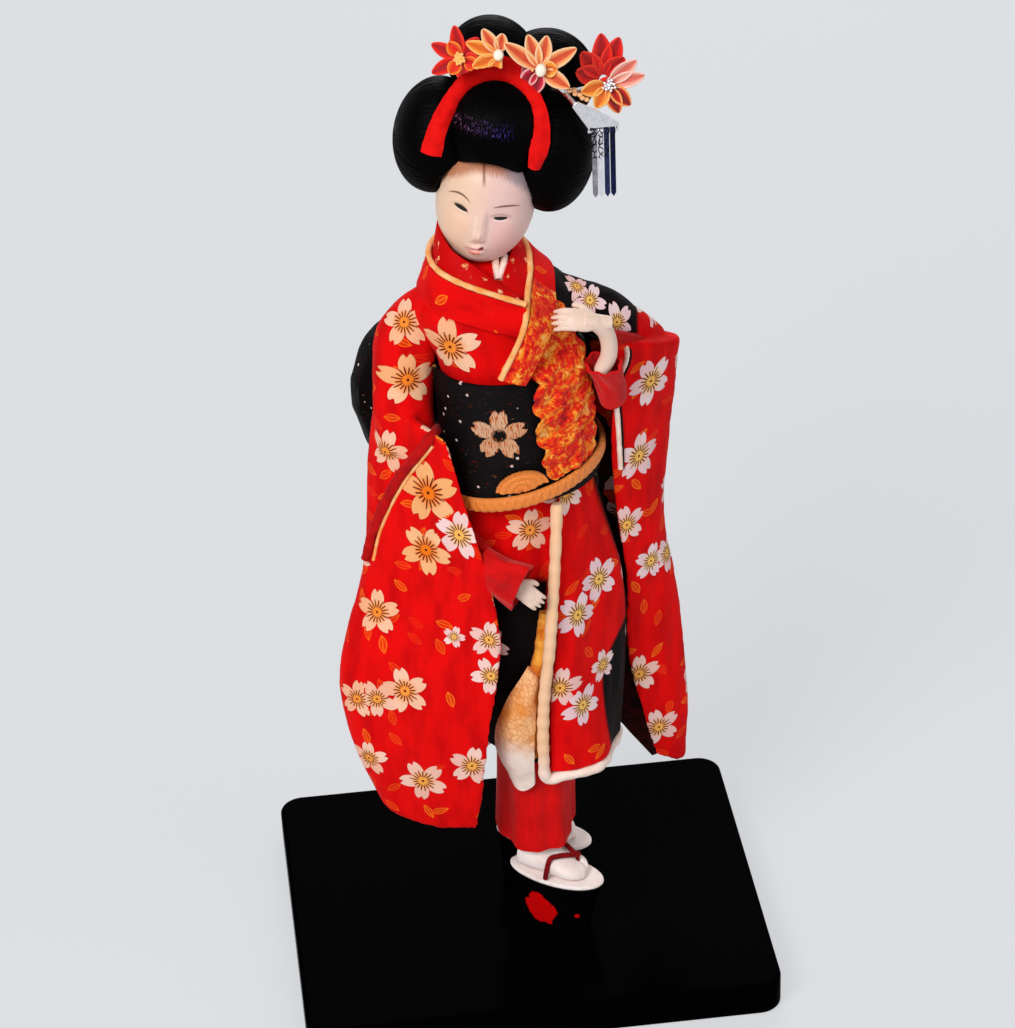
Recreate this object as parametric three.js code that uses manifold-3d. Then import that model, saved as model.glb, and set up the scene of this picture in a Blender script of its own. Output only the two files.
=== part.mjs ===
// A maiko doll on a black lacquered board: a plaster-faced head on a neck peg, a wooden body on two
// steel pins, tall lacquered sandals, a layered kimono with long sleeves, a bow-tied sash and silk
// flowers in the hair. Millimetres, +Z up. The origin is the middle of the board's underside, and the
// board's front edge faces -Y.
import * as THREE from "three";
import { mergeVertices } from "three/addons/utils/BufferGeometryUtils.js";
import Module from "manifold-3d";

const wasm = await Module();
wasm.setup();

// Gaps between pieces
const seatGap = 0.3;
const hairGap = 0.5;
const sleeveGap = 0.6;
const neckTurnGap = 1;

// Board
const boardWidth = 180;
const boardDepth = 150;
const boardThick = 14;
const boardCorner = 9;
const boardEdge = 1.6;

// Sandals, feet and pins
const sandalLength = 37.5;
const sandalWidth = 17.2;
const sandalHeight = 24;
const sandalCover = 1.6;
const sandalToeCut = 0.3;
const strapRadius = 0.8;
const strapClear = 1.4;
const pinRadius = 1.1;
const pinInLeg = 34;
const ankleBack = 7;
const ankleHeight = 26;
const ankleRadius = 5.4;
const footRight = { x: 11.2, y: -22.5, turn: -33, inner: 1 };
const footLeft = { x: 9.5, y: 1.9, turn: -27, inner: -1 };

// Heights above the sandals' tops
const underskirtHem = 12.4;
const skirtHem = 54;
const hipHeight = 150;
const waistSeam = 176;
const sashBottom = 170;
const sashTop = 218;
const shoulderHeight = 240;
const neckBase = 253;
const headHeight = 276;

// Cloth and sash
const legRadius = 6;
const hipSpread = 9;
const sashThick = 2.6;
const cordThick = 2.4;
const cordHeight = 5.2;
const cordTilt = 5;
const edgeRollRadius = 2.1;
const bowHeight = 198;
const bowHalf = 47;
const bowWaist = 4.5;
const knotHalf = 7;
const knotRadius = 8.2;
const knotTall = 17;
const tailThick = 2.2;
const tailEnd = 76;
const sleeveThick = 5;
const cuffWall = 1.3;
const collarThick = 1.4;
const pipingRadius = 0.8;

// Arms
const armRadius = 3.2;
const fingerRadius = 0.95;
const shoulderRight = [-24, -3, 236];
const elbowRight = [-37, -9, 183];
const wristRight = [-5, -37, 144];
const shoulderLeft = [23, 0, 229];
const elbowLeft = [56, 8, 208];
const wristLeft = [36, -17, 227];

// Neck and head
const neckX = -3;
const neckY = -1;
const neckRadius = 5.6;
const pegRadius = 2.6;
const pegDepth = 26;
const headTurn = -12;
const headLean = 10;
const headNod = -5;
const faceHalfWidth = 17.4;
const faceHalfHeight = 20.5;
const faceDepth = 17.5;
const hairlineWide = 17.5;
const hairlineHigh = 20.2;

// Silver drops
const dropCount = 4;
const dropLength = 25;
const dropWidth = 1.8;
const dropPitch = 2.1;
const dropThick = 0.5;
const plateThick = 0.6;
const barRadius = 0.45;
const eyeWall = 0.55;
const barDrop = 9.6;
const barHalf = (dropCount / 2) * dropPitch + 1.15;
const lugHalf = 0.6;
const plateReach = 9.6;
const plateRise = 10.8;
const plateTip = 0.9;
const plateFoot = barRadius + 2 * seatGap + eyeWall;
const hairPinRadius = 0.8;

const degrees = THREE.MathUtils.degToRad;
const lerp = THREE.MathUtils.lerp;
const V = (x, y, z) => new THREE.Vector3(x, y, z);
const spline = (points) => new THREE.CatmullRomCurve3(points.map((p) => (p.isVector3 ? p : V(...p))));

// A value read off a table of [place, value, ...] rows, smooth between them.
function along(rows, place, column = 1) {
  let i = 0;
  while (i < rows.length - 2 && place > rows[i + 1][0]) i++;
  const t = THREE.MathUtils.clamp((place - rows[i][0]) / (rows[i + 1][0] - rows[i][0]), 0, 1);
  const before = rows[Math.max(0, i - 1)];
  const after = rows[Math.min(rows.length - 1, i + 2)];
  const step = rows[i + 1][0] - rows[i][0];
  const slope = (a, b) => (b[0] === a[0] ? 0 : ((b[column] - a[column]) / (b[0] - a[0])) * step);
  const m0 = slope(before, rows[i + 1]);
  const m1 = slope(rows[i], after);
  const t2 = t * t;
  const t3 = t2 * t;
  return (
    (2 * t3 - 3 * t2 + 1) * rows[i][column] +
    (t3 - 2 * t2 + t) * m0 +
    (3 * t2 - 2 * t3) * rows[i + 1][column] +
    (t3 - t2) * m1
  );
}

const bell = (x, width) => Math.exp(-((x / width) ** 2));

// Solids from geometry, and back

function plain(geometry) {
  const flat = geometry.index ? geometry.toNonIndexed() : geometry;
  const bare = new THREE.BufferGeometry().setAttribute("position", flat.getAttribute("position").clone());
  return mergeVertices(bare, 1e-4);
}

function solid(geometry) {
  const merged = plain(geometry);
  const made = new wasm.Manifold(
    new wasm.Mesh({
      numProp: 3,
      vertProperties: merged.attributes.position.array,
      triVerts: new Uint32Array(merged.index.array),
    }),
  );
  if (made.volume() >= 0) return made;
  const turned = new Uint32Array(merged.index.array);
  for (let i = 0; i < turned.length; i += 3) {
    [turned[i + 1], turned[i + 2]] = [turned[i + 2], turned[i + 1]];
  }
  return new wasm.Manifold(
    new wasm.Mesh({ numProp: 3, vertProperties: merged.attributes.position.array, triVerts: turned }),
  );
}

function geometryOf(made) {
  const mesh = made.getMesh();
  const points = new Float32Array(mesh.numVert * 3);
  for (let i = 0; i < mesh.numVert; i++) {
    points.set(mesh.vertProperties.subarray(i * mesh.numProp, i * mesh.numProp + 3), i * 3);
  }
  return new THREE.BufferGeometry()
    .setAttribute("position", new THREE.BufferAttribute(points, 3))
    .setIndex(new THREE.BufferAttribute(mesh.triVerts, 1));
}

// The largest single body of a solid: a cut can leave slivers, which are dropped.
function largest(made) {
  return made.decompose().reduce((a, b) => (b.volume() > a.volume() ? b : a));
}

const join = (...pieces) => geometryOf(pieces.map(solid).reduce((a, b) => a.add(b)));

// The geometry grown outwards by a gap, as the room that a neighbour leaves round it.
function grown(geometry, gap = seatGap) {
  const merged = plain(geometryOf(solid(geometry)));
  merged.computeVertexNormals();
  const p = merged.attributes.position;
  const n = merged.attributes.normal;
  for (let i = 0; i < p.count; i++) {
    p.setXYZ(i, p.getX(i) + n.getX(i) * gap, p.getY(i) + n.getY(i) * gap, p.getZ(i) + n.getZ(i) * gap);
  }
  return merged;
}

function cut(geometry, ...tools) {
  return geometryOf(largest(tools.reduce((a, tool) => a.subtract(solid(tool)), solid(geometry))));
}

const cutRound = (geometry, ...neighbours) => cut(geometry, ...neighbours.map((n) => grown(n)));

// Shapes

// A closed solid through rings of points, all with as many points, and capped at both ends.
function loft(rings, { joined = false } = {}) {
  const n = rings[0].length;
  const points = [];
  const faces = [];
  rings.forEach((ring) => ring.forEach((p) => points.push(p.x, p.y, p.z)));
  const at = (i, j) => (i % rings.length) * n + (j % n);
  const spans = joined ? rings.length : rings.length - 1;
  for (let i = 0; i < spans; i++) {
    for (let j = 0; j < n; j++) {
      faces.push(at(i, j), at(i, j + 1), at(i + 1, j + 1), at(i, j), at(i + 1, j + 1), at(i + 1, j));
    }
  }
  if (!joined) {
    [0, rings.length - 1].forEach((i, end) => {
      const middle = rings[i].reduce((a, p) => a.add(p), V(0, 0, 0)).divideScalar(n);
      const m = points.length / 3;
      points.push(middle.x, middle.y, middle.z);
      for (let j = 0; j < n; j++) {
        if (end) faces.push(at(i, j), at(i, j + 1), m);
        else faces.push(at(i, j + 1), at(i, j), m);
      }
    });
  }
  const made = new THREE.BufferGeometry()
    .setAttribute("position", new THREE.BufferAttribute(new Float32Array(points), 3))
    .setIndex(faces);
  return geometryOf(solid(made));
}

// A thick sheet on a surface at(u, v), as thick as thick(u, v), with its edges closed.
function sheet(at, thick, across, down) {
  const rings = [];
  const step = 1e-3;
  for (let i = 0; i <= down; i++) {
    const front = [];
    const back = [];
    for (let j = 0; j <= across; j++) {
      const u = j / across;
      const v = i / down;
      const du = at(Math.min(1, u + step), v).sub(at(Math.max(0, u - step), v));
      const dv = at(u, Math.min(1, v + step)).sub(at(u, Math.max(0, v - step)));
      const normal = du.cross(dv).normalize();
      const half = thick(u, v) / 2;
      front.push(at(u, v).addScaledVector(normal, half));
      back.unshift(at(u, v).addScaledVector(normal, -half));
    }
    rings.push([...front, ...back]);
  }
  return sheetLoft(rings, across + 1);
}

// As loft, but with ends that are strips between the front row and the back row.
function sheetLoft(rings, row) {
  const n = rings[0].length;
  const points = rings.flat().flatMap((p) => [p.x, p.y, p.z]);
  const faces = [];
  const at = (i, j) => i * n + (j % n);
  for (let i = 0; i < rings.length - 1; i++) {
    for (let j = 0; j < n; j++) {
      faces.push(at(i, j), at(i, j + 1), at(i + 1, j + 1), at(i, j), at(i + 1, j + 1), at(i + 1, j));
    }
  }
  [0, rings.length - 1].forEach((i, end) => {
    for (let j = 0; j < row - 1; j++) {
      const quad = [at(i, j), at(i, j + 1), at(i, n - 2 - j), at(i, n - 1 - j)];
      if (end) faces.push(quad[0], quad[1], quad[2], quad[0], quad[2], quad[3]);
      else faces.push(quad[0], quad[2], quad[1], quad[0], quad[3], quad[2]);
    }
  });
  const made = new THREE.BufferGeometry()
    .setAttribute("position", new THREE.BufferAttribute(new Float32Array(points), 3))
    .setIndex(faces);
  return geometryOf(solid(made));
}

// A tube along points, thick as radius, with flat ends.
function tube(points, radius, steps, sides = 8) {
  const circle = new THREE.Shape();
  for (let i = 0; i < sides; i++) {
    const a = (i / sides) * Math.PI * 2;
    if (i) circle.lineTo(Math.cos(a) * radius, Math.sin(a) * radius);
    else circle.moveTo(radius, 0);
  }
  circle.closePath();
  return new THREE.ExtrudeGeometry(circle, { extrudePath: spline(points), steps, bevelEnabled: false });
}

// A limb or wrapped tube whose radius follows a table of [share along, radius across, radius up].
function limb(points, radii, steps = 8, sides = 12) {
  const path = spline(points);
  const frames = path.computeFrenetFrames(steps, false);
  const rings = [];
  for (let i = 0; i <= steps; i++) {
    const t = i / steps;
    const middle = path.getPointAt(t);
    const tangent = frames.tangents[i];
    const side = V(0, 0, 1).cross(tangent).normalize();
    if (side.lengthSq() < 0.5) side.copy(frames.normals[i]);
    const up = tangent.clone().cross(side).normalize();
    const ring = [];
    for (let j = 0; j < sides; j++) {
      const a = (j / sides) * Math.PI * 2;
      ring.push(
        middle
          .clone()
          .addScaledVector(side, Math.cos(a) * along(radii, t, 1))
          .addScaledVector(up, Math.sin(a) * along(radii, t, 2)),
      );
    }
    rings.push(ring);
  }
  return loft(rings);
}

function ball(x, y, z, rx, ry, rz, across = 16, down = 10) {
  const sphere = new THREE.SphereGeometry(1, across, down).rotateX(Math.PI / 2);
  return sphere.scale(rx, ry, rz).translate(x, y, z);
}

function rod(radius, from, to, sides = 12) {
  const upright = new THREE.CylinderGeometry(radius, radius, to - from, sides).rotateX(Math.PI / 2);
  return upright.translate(0, 0, (from + to) / 2);
}

// The standing body

// Height, then the middle of the body, its half width across the shoulders, half depth and turn.
const body = [
  [skirtHem, 12, -6, 25.5, 28.5, 25],
  [82, 12, -7.5, 29.5, 25.5, 27],
  [108, 11, -7.5, 33, 24.5, 28],
  [128, 9.5, -8, 33, 23.5, 27],
  [hipHeight, 7, -7, 29.5, 23, 26],
  [waistSeam, 5, -6, 26, 21.5, 24],
  [200, 3.5, -5.5, 25, 21.5, 22],
  [sashTop, 2, -5, 25.5, 22, 20],
  [230, -0.5, -4, 28, 21.5, 18],
  [shoulderHeight, -2.8, -3, 28.5, 21.6, 16],
  [247, -3.8, -2.4, 22, 18, 15],
  [neckBase, -4.3, -2, 14, 12.4, 14],
];

// A point on the clothed body: angle 0 is its front, and a positive angle turns to its left side.
function onBody(angle, height, out = 0) {
  const turn = degrees(along(body, height, 5));
  const side = Math.sin(angle) * (along(body, height, 3) + out);
  const front = Math.cos(angle) * (along(body, height, 4) + out);
  return V(
    along(body, height, 1) + side * Math.cos(turn) + front * Math.sin(turn),
    along(body, height, 2) + side * Math.sin(turn) - front * Math.cos(turn),
    height,
  );
}

function bodyRing(height, out, sides, extra = () => 0) {
  const ring = [];
  for (let j = 0; j < sides; j++) {
    const angle = (j / sides) * Math.PI * 2 - Math.PI;
    ring.push(onBody(angle, height, out + extra(angle, height)));
  }
  return ring;
}

// Board, sandals and feet

function boardShape() {
  const x = boardWidth / 2 - boardEdge;
  const y = boardDepth / 2 - boardEdge;
  const r = boardCorner - boardEdge;
  const shape = new THREE.Shape();
  shape.moveTo(-x + r, -y);
  shape.lineTo(x - r, -y);
  shape.absarc(x - r, -y + r, r, -Math.PI / 2, 0);
  shape.lineTo(x, y - r);
  shape.absarc(x - r, y - r, r, 0, Math.PI / 2);
  shape.lineTo(-x + r, y);
  shape.absarc(-x + r, y - r, r, Math.PI / 2, Math.PI);
  shape.lineTo(-x, -y + r);
  shape.absarc(-x + r, -y + r, r, Math.PI, Math.PI * 1.5);
  return shape;
}

function boardBlank() {
  const height = boardThick - 2 * boardEdge;
  return new THREE.ExtrudeGeometry(boardShape(), {
    depth: height,
    bevelThickness: boardEdge,
    bevelSize: boardEdge,
    bevelSegments: 2,
    curveSegments: 3,
  }).translate(0, 0, boardEdge);
}

// The sole's outline is an oval that is broader at the toe.
function soleRing(height, toe, heel, width, sides = 20) {
  const ring = [];
  for (let j = 0; j < sides; j++) {
    const a = (j / sides) * Math.PI * 2;
    const x = (sandalLength / 2) * Math.cos(a) * (Math.cos(a) > 0 ? toe : heel);
    ring.push(V(x, (sandalWidth / 2) * Math.sin(a) * (1 + 0.1 * Math.cos(a)) * width, height));
  }
  return ring;
}

function sandalBlock() {
  const top = sandalHeight - sandalCover - 2 * seatGap;
  const level = (k) =>
    soleRing(top * k, 1 - sandalToeCut * (1 - k) ** 0.8, 1 - 0.08 * (1 - k), 0.86 + 0.14 * k ** 1.5);
  return loft([0, 0.06, 0.4, 0.75, 1].map(level));
}

function sandalTop() {
  const low = sandalHeight - sandalCover;
  return loft([
    soleRing(low, 0.99, 0.99, 0.98),
    soleRing(low + 0.4, 1.02, 1.02, 1.04),
    soleRing(sandalHeight - 0.4, 1.02, 1.02, 1.04),
    soleRing(sandalHeight, 0.99, 0.99, 0.98),
  ]);
}

// A foot in a split-toed sock, along +X, standing at height 0: place along, half width and height.
const footForm = [
  [-15.5, 2, 5],
  [-14.5, 4.6, 9],
  [-11, 6.2, 11.6],
  [-5, 6.4, 10.4],
  [1, 6.9, 8.2],
  [6, 7.1, 6.4],
  [9.5, 6.2, 5.4],
  [11.5, 4.2, 4.2],
  [12.5, 2, 3],
];
const toeGap = 2.2;
const squareness = 0.7;

function sock(inner) {
  const sides = 12;
  const rings = footForm.map(([x, half, tall]) =>
    Array.from({ length: sides }, (_, j) => {
      const a = (j / sides) * Math.PI * 2;
      const lift = Math.sign(Math.sin(a)) * Math.abs(Math.sin(a)) ** squareness;
      return V(x, half * Math.cos(a), seatGap + (tall / 2) * (1 + lift));
    }),
  );
  const anklePost = rod(ankleRadius, 4, ankleHeight, 10).translate(-ankleBack, 0, 0);
  const toeSplit = new THREE.BoxGeometry(6, 0.9, 12).translate(11, inner * toeGap, 6);
  const postRoom = rod(strapRadius + seatGap, -1, 12, 6).translate(8, inner * toeGap, 0);
  return cut(join(loft(rings), anklePost), toeSplit, postRoom);
}

// The height of the sock's surface over a spot of the sole.
function sockTop(x, y) {
  const share = Math.min(1, Math.abs(y) / along(footForm, x, 1));
  return seatGap + (along(footForm, x, 2) / 2) * (1 + (1 - share ** 2) ** (squareness / 2));
}

// The V-shaped thong: both arms run from between the toes over the foot to the edges of the sole.
function thong(inner) {
  const reach = strapRadius + seatGap + strapClear;
  const over = (x, y) => V(x, y, sockTop(x, y) + reach);
  const side = sandalWidth / 2 - strapRadius;
  const armTo = (way) => {
    const spots = [0, 0.35, 0.7, 0.95].map((t) =>
      over(lerp(7.4, 0, t), lerp(inner * toeGap, way * 5.9, t)),
    );
    spots.push(V(-0.6, way * side, 3.4), V(-1, way * side, strapRadius + seatGap));
    return tube(spots, strapRadius, 6, 5);
  };
  const knot = over(8, inner * toeGap).add(V(0, 0, 0.5));
  const post = rod(strapRadius, seatGap, knot.z, 6).translate(knot.x, knot.y, 0);
  return join(armTo(1), armTo(-1), post, ball(knot.x, knot.y, knot.z, 1.5, 1.3, 1.1, 8, 5));
}

// Places a foot's geometry, made along +X at the origin, at its spot.
const inStep = (geometry, foot, height) =>
  geometry.clone().rotateZ(degrees(foot.turn)).translate(foot.x, foot.y, height);

const ankleOf = (foot) => V(
  foot.x - ankleBack * Math.cos(degrees(foot.turn)),
  foot.y - ankleBack * Math.sin(degrees(foot.turn)),
  ankleHeight,
);

// The body inside

function torsoForm() {
  const rings = [hipHeight, waistSeam, 196, sashTop, shoulderHeight - 4].map((height, i) =>
    bodyRing(height, i ? -6.5 : -8, 14),
  );
  rings.push(bodyRing(shoulderHeight + 4, -7.5, 14));
  return loft(rings);
}

// A leg's rings, from the ankle to the hip; a positive gap gives the room that the robe leaves round it.
function leg(foot, side, gap = 0) {
  const ankle = ankleOf(foot);
  const turn = degrees(along(body, hipHeight, 5));
  const hip = V(
    along(body, hipHeight, 1) + side * hipSpread * Math.cos(turn),
    along(body, hipHeight, 2) + side * hipSpread * Math.sin(turn),
    hipHeight - seatGap + gap,
  );
  const sides = 10;
  const rows = [[0, ankleRadius], [0.35, legRadius * 1.1], [1, legRadius * 1.3]];
  const rings = rows.map(([t, radius]) => {
    const middle = ankle.clone().lerp(hip, t);
    if (!t) middle.z += seatGap;
    return Array.from({ length: sides }, (_, j) => {
      const a = (j / sides) * Math.PI * 2;
      return V(middle.x + (radius + gap) * Math.cos(a), middle.y + (radius + gap) * Math.sin(a), middle.z);
    });
  });
  if (gap) rings.unshift(rings[0].map((p) => p.clone().setZ(underskirtHem - 2)));
  return loft(rings);
}

// Skirts

// The red under-robe falls close round both ankles. The rows are height, middle, half width and half depth.
const underTop = hipHeight - 6;
const underForm = [
  [underskirtHem, 5.5, -5.5, 14.8, 22],
  [30, 6, -5.5, 14.6, 21.5],
  [60, 7.5, -6.5, 15.5, 19.5],
  [110, 8, -7, 20, 18],
  [underTop, 6, -7, 21, 17.5],
];

function underRing(height, out, sides) {
  return Array.from({ length: sides }, (_, j) => {
    const a = (j / sides) * Math.PI * 2;
    const fold = 0.8 * Math.sin(a * 6 + 1) * bell(height - underskirtHem, 60);
    return V(
      along(underForm, height, 1) + (along(underForm, height, 3) + out + fold) * Math.cos(a),
      along(underForm, height, 2) + (along(underForm, height, 4) + out + fold) * Math.sin(a),
      height,
    );
  });
}

const underskirtForm = () =>
  loft([underskirtHem, 34, 60, 100, underTop].map((h) => underRing(h, 0, 18)));

const underskirtRoom = () =>
  loft([underskirtHem, 34, 60, 100, underTop + seatGap].map((h) => underRing(h, seatGap, 18)));

// The front edge of the outer skirt, as the angle round the body at each height.
const frontEdge = [
  [skirtHem, -34],
  [82, -29],
  [108, -20],
  [140, -8],
  [waistSeam, 6],
];
const panelStep = 3.4;

// How far the skirt stands off the body's form: gathers, and the step down to the panel tucked under.
function skirtOut(angle, height) {
  const edge = degrees(along(frontEdge, height));
  let past = angle - edge;
  while (past < -Math.PI) past += Math.PI * 2;
  while (past > Math.PI) past -= Math.PI * 2;
  const low = THREE.MathUtils.smoothstep(waistSeam - height, 0, 60);
  const folds = 0.9 * Math.sin(angle * 5 + height * 0.03) + 0.5 * Math.sin(angle * 8 - height * 0.05 + 2);
  const tucked = past < 0 && past > -1.3 ? THREE.MathUtils.smoothstep(past, -1.3, -0.9) : 0;
  return low * folds - tucked * panelStep * THREE.MathUtils.smoothstep(waistSeam - height, 0, 20);
}

function skirtForm() {
  const sides = 34;
  const heights = [skirtHem, 68, 88, 108, 128, 152, waistSeam];
  return loft(heights.map((h) => bodyRing(h, 0, sides, skirtOut)));
}

// The padded roll of lining that runs down the front edge and round the hem.
function edgeRoll() {
  const clear = edgeRollRadius + seatGap;
  const points = [];
  for (let h = sashBottom - clear; h > skirtHem; h -= 15) {
    const angle = degrees(along(frontEdge, h) - 5);
    points.push(onBody(angle, h, skirtOut(angle, h) + clear + 0.5));
  }
  const start = along(frontEdge, skirtHem) - 3;
  for (let a = start; a < start + 300; a += 15) {
    const angle = degrees(a);
    const out = a === start ? 0.6 : skirtOut(angle, skirtHem) - 1.4;
    points.push(onBody(angle, skirtHem - clear - 0.3, out));
  }
  return tube(points, edgeRollRadius, 36, 5);
}

// The turned-out corner of the lining beside the raised front edge.
function liningFlap() {
  const edge = (height, lag, out) => {
    const front = along(frontEdge, Math.max(height, skirtHem));
    return onBody(degrees(front - lag), height, out);
  };
  const right = spline([edge(98, 10, 0.6), edge(80, 11, 1.2), edge(64, 12, 1.6), edge(47, 14, 0)]);
  const left = spline([edge(102, 18, 0), edge(84, 34, 1.5), edge(64, 44, 2), edge(48, 36, 0)]);
  return sheet(
    (u, v) => {
      const point = left.getPoint(v).lerp(right.getPoint(v), u);
      const out = 3.2 * Math.sin(Math.PI * u) * Math.sin(Math.PI * Math.min(1, v * 1.1));
      return point.add(V(0, -out, -4 * Math.sin(Math.PI * u) * v));
    },
    (u) => 1.2 + 1.8 * Math.sin(Math.PI * u),
    5,
    6,
  );
}

// Bodice, collars and sash

function bodiceForm() {
  const heights = [waistSeam + seatGap, 200, sashTop, 230, shoulderHeight, 247, neckBase];
  return loft(heights.map((h) => bodyRing(h, 0, 20)));
}

// A band around the body: the rows are height, how far out its inside is, and how far out its outside is.
function band(rows, sides) {
  const rings = Array.from({ length: sides }, (_, j) => {
    const angle = (j / sides) * Math.PI * 2;
    const outside = rows.map(([height, , out]) => onBody(angle, height(angle), out));
    const inside = rows.map(([height, inner]) => onBody(angle, height(angle), inner));
    return [...outside, ...inside.reverse()];
  });
  return loft(rings, { joined: true });
}

const sashInside = seatGap + 0.5;
const sashOutside = sashInside + sashThick;
const cordInside = sashOutside + seatGap + 0.2;
const cordMiddle = (angle) => sashBottom + cordHeight / 2 + 2.4 + cordTilt * Math.sin(angle);

function sashForm() {
  const at = (height) => () => height;
  return band([
    [at(sashBottom), sashInside, sashOutside - 0.6],
    [at((sashBottom + sashTop) / 2), sashInside, sashOutside],
    [at(sashTop), sashInside, sashOutside - 0.6],
  ], 24);
}

function cordForm() {
  const at = (share) => (angle) => cordMiddle(angle) + share * cordHeight;
  return band([
    [at(-0.5), cordInside, cordInside + cordThick * 0.5],
    [at(0), cordInside, cordInside + cordThick],
    [at(0.5), cordInside, cordInside + cordThick * 0.5],
  ], 24);
}

// The arched knot of the cord at the front, a fan of ridges on the sash.
function cordArch() {
  const at = (u, v) => {
    const a = Math.PI * (0.04 + 0.92 * u);
    const reach = 0.25 + 0.75 * v;
    const angle = degrees(-26) - Math.cos(a) * 0.32 * reach;
    const foot = cordMiddle(angle) + cordHeight / 2 + seatGap + 1;
    return onBody(angle, foot + 7.5 * Math.sin(a) * reach, cordInside + 1.4);
  };
  return sheet(at, (u, v) => 1.5 + 0.6 * Math.sin(v * Math.PI * 3) ** 2, 8, 5);
}

// The crinkled silk that falls from the shoulder over the sash, with scallops down both edges.
const silkThick = 2;
function silkFall() {
  const top = 243;
  const clear = silkThick / 2 + 0.6;
  return sheet(
    (u, v) => {
      const middle = lerp(0.42, 0.26, v);
      const half = lerp(0.2, 0.45, Math.sin(Math.PI * Math.min(1, v * 0.85)));
      const scallop = 0.05 * Math.abs(Math.sin(v * Math.PI * 5));
      const angle = middle + (u - 0.5) * 2 * (half + scallop);
      const bottom = cordMiddle(angle) + cordHeight / 2 + seatGap + 1;
      const height = lerp(top, bottom, v);
      const over = THREE.MathUtils.smoothstep(sashTop + 9 - height, 0, 8) * sashOutside;
      return onBody(angle, height, over + clear);
    },
    (u, v) => silkThick + 0.3 * Math.sin(v * 34) * Math.sin(u * 9),
    6,
    15,
  );
}

// One side of a crossed collar: a band between its upper edge and its lower edge.
const collarBand = (upper, lower, bulge = 0.8) =>
  sheet(
    (u, v) => {
      const a = spline(upper).getPoint(v);
      const b = spline(lower).getPoint(v);
      return a.lerp(b, u).add(V(0, -bulge * Math.sin(Math.PI * u), 0));
    },
    () => collarThick,
    2,
    12,
  );

// Each collar's upper edge and piped edge, and the lower edge of the robe's own collar below the piping.
const innerRightTop = [
  [-4, 13, 266],
  [-15.5, 8.5, 268],
  [-20.2, -1, 268.5],
  [-17.3, -12, 264],
  [-10, -18.5, 259.5],
  [-3, -21.8, 254],
  [4, -24.5, 249.8],
];
const pipedRight = [
  [-4, 16.5, 259],
  [-17, 10.5, 258.5],
  [-22.6, -1, 257],
  [-21, -13.5, 256],
  [-14.2, -21.5, 254.5],
  [-5.6, -25, 251.7],
  [5.6, -27.5, 247.5],
];
const lowerRight = [
  [-4, 16.5, 247.5],
  [-20.5, 12, 246.5],
  [-28.2, -3, 246],
  [-24.5, -18.5, 244],
  [-15, -25, 242],
  [-4.5, -28, 239],
  [6, -29.5, 236],
];
const innerLeftTop = [
  [-4, 13, 266],
  [3, 11, 264],
  [6.4, 3, 261],
  [3.6, -8, 257],
  [0.2, -16, 254],
  [-1, -20.5, 250],
];
const pipedLeft = [
  [-4, 16.5, 259],
  [5, 13.5, 257],
  [9.5, 4, 254.5],
  [9.7, -9, 252],
  [7.9, -19.5, 248.5],
  [6.2, -28.8, 243.5],
  [4, -31.4, 237.4],
  [-2.8, -33, 223],
];
const lowerLeft = [
  [-4, 16.5, 247.5],
  [12, 14, 247.5],
  [17.6, 3, 248],
  [17.6, -11, 246],
  [16.4, -20.5, 241],
  [14, -26.5, 235.8],
  [10.4, -30.4, 230.3],
  [4.2, -33, 219.8],
];
const innerLeftEnd = innerLeftTop.length;

// The points moved straight away from the neck.
const pushed = (points, amount) =>
  points.map(([x, y, z]) => {
    const out = V(x - neckX, y - neckY, 0).setLength(amount);
    return [x + out.x, y + out.y, z];
  });

// The robe's collar stands off the inner one, and the piping lies along its upper edge.
const collarOut = 1.9;
const pipingLift = pipingRadius + collarThick / 2 + seatGap;
function piping(upper, lower) {
  const low = pushed(lower, collarOut);
  const spots = pushed(upper, collarOut + 0.3).map((p, i) => {
    const spot = V(...p);
    const across = spot.clone().sub(V(...low[i]));
    return spot.add(across.setLength(pipingLift));
  });
  return tube(spots.slice(1), pipingRadius, 12, 5);
}

// The bow at the back: two wide wings gathered by a knot, and two long tails, in line with the body's turn.

function behind(geometry) {
  const middle = onBody(Math.PI, bowHeight, sashOutside + knotRadius + seatGap);
  return geometry.rotateZ(degrees(along(body, bowHeight, 5))).translate(middle.x, middle.y, 0);
}

// A superellipse-like ring in a plane of constant x, as the puffed cloth of the bow has.
function puffRing(x, deep, low, high, sides, square = 0.55) {
  const swell = (k) => Math.sign(k) * Math.abs(k) ** square;
  return Array.from({ length: sides }, (_, j) => {
    const a = (j / sides) * Math.PI * 2;
    return V(x, deep * swell(Math.cos(a)), (low + high) / 2 + ((high - low) / 2) * swell(Math.sin(a)));
  });
}

function bowWings() {
  // Share across from the middle, then how far down, how far up and half the thickness there.
  const form = [
    [0, 12, 12, bowWaist],
    [0.19, 12.5, 12.5, bowWaist],
    [0.36, 25, 22, 7],
    [0.62, 28, 25, 7.5],
    [0.86, 20, 20, 6],
    [1, 3, 12, 3],
  ];
  const shares = [-1, -0.9, -0.68, -0.38, -0.19, 0.19, 0.38, 0.68, 0.9, 1];
  const at = (s, column) => along(form, Math.abs(s), column);
  return loft(
    shares.map((s) => puffRing(s * bowHalf, at(s, 3), bowHeight - at(s, 1), bowHeight + at(s, 2), 14)),
  );
}

function bowKnot() {
  const end = 0.8;
  return loft(
    [-1, -0.85, 0, 0.85, 1].map((s) => {
      const size = Math.abs(s) === 1 ? end : 1;
      const half = knotTall * size;
      return puffRing(s * knotHalf, knotRadius * size, bowHeight - half, bowHeight + half, 12, 0.7);
    }),
  );
}

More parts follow.
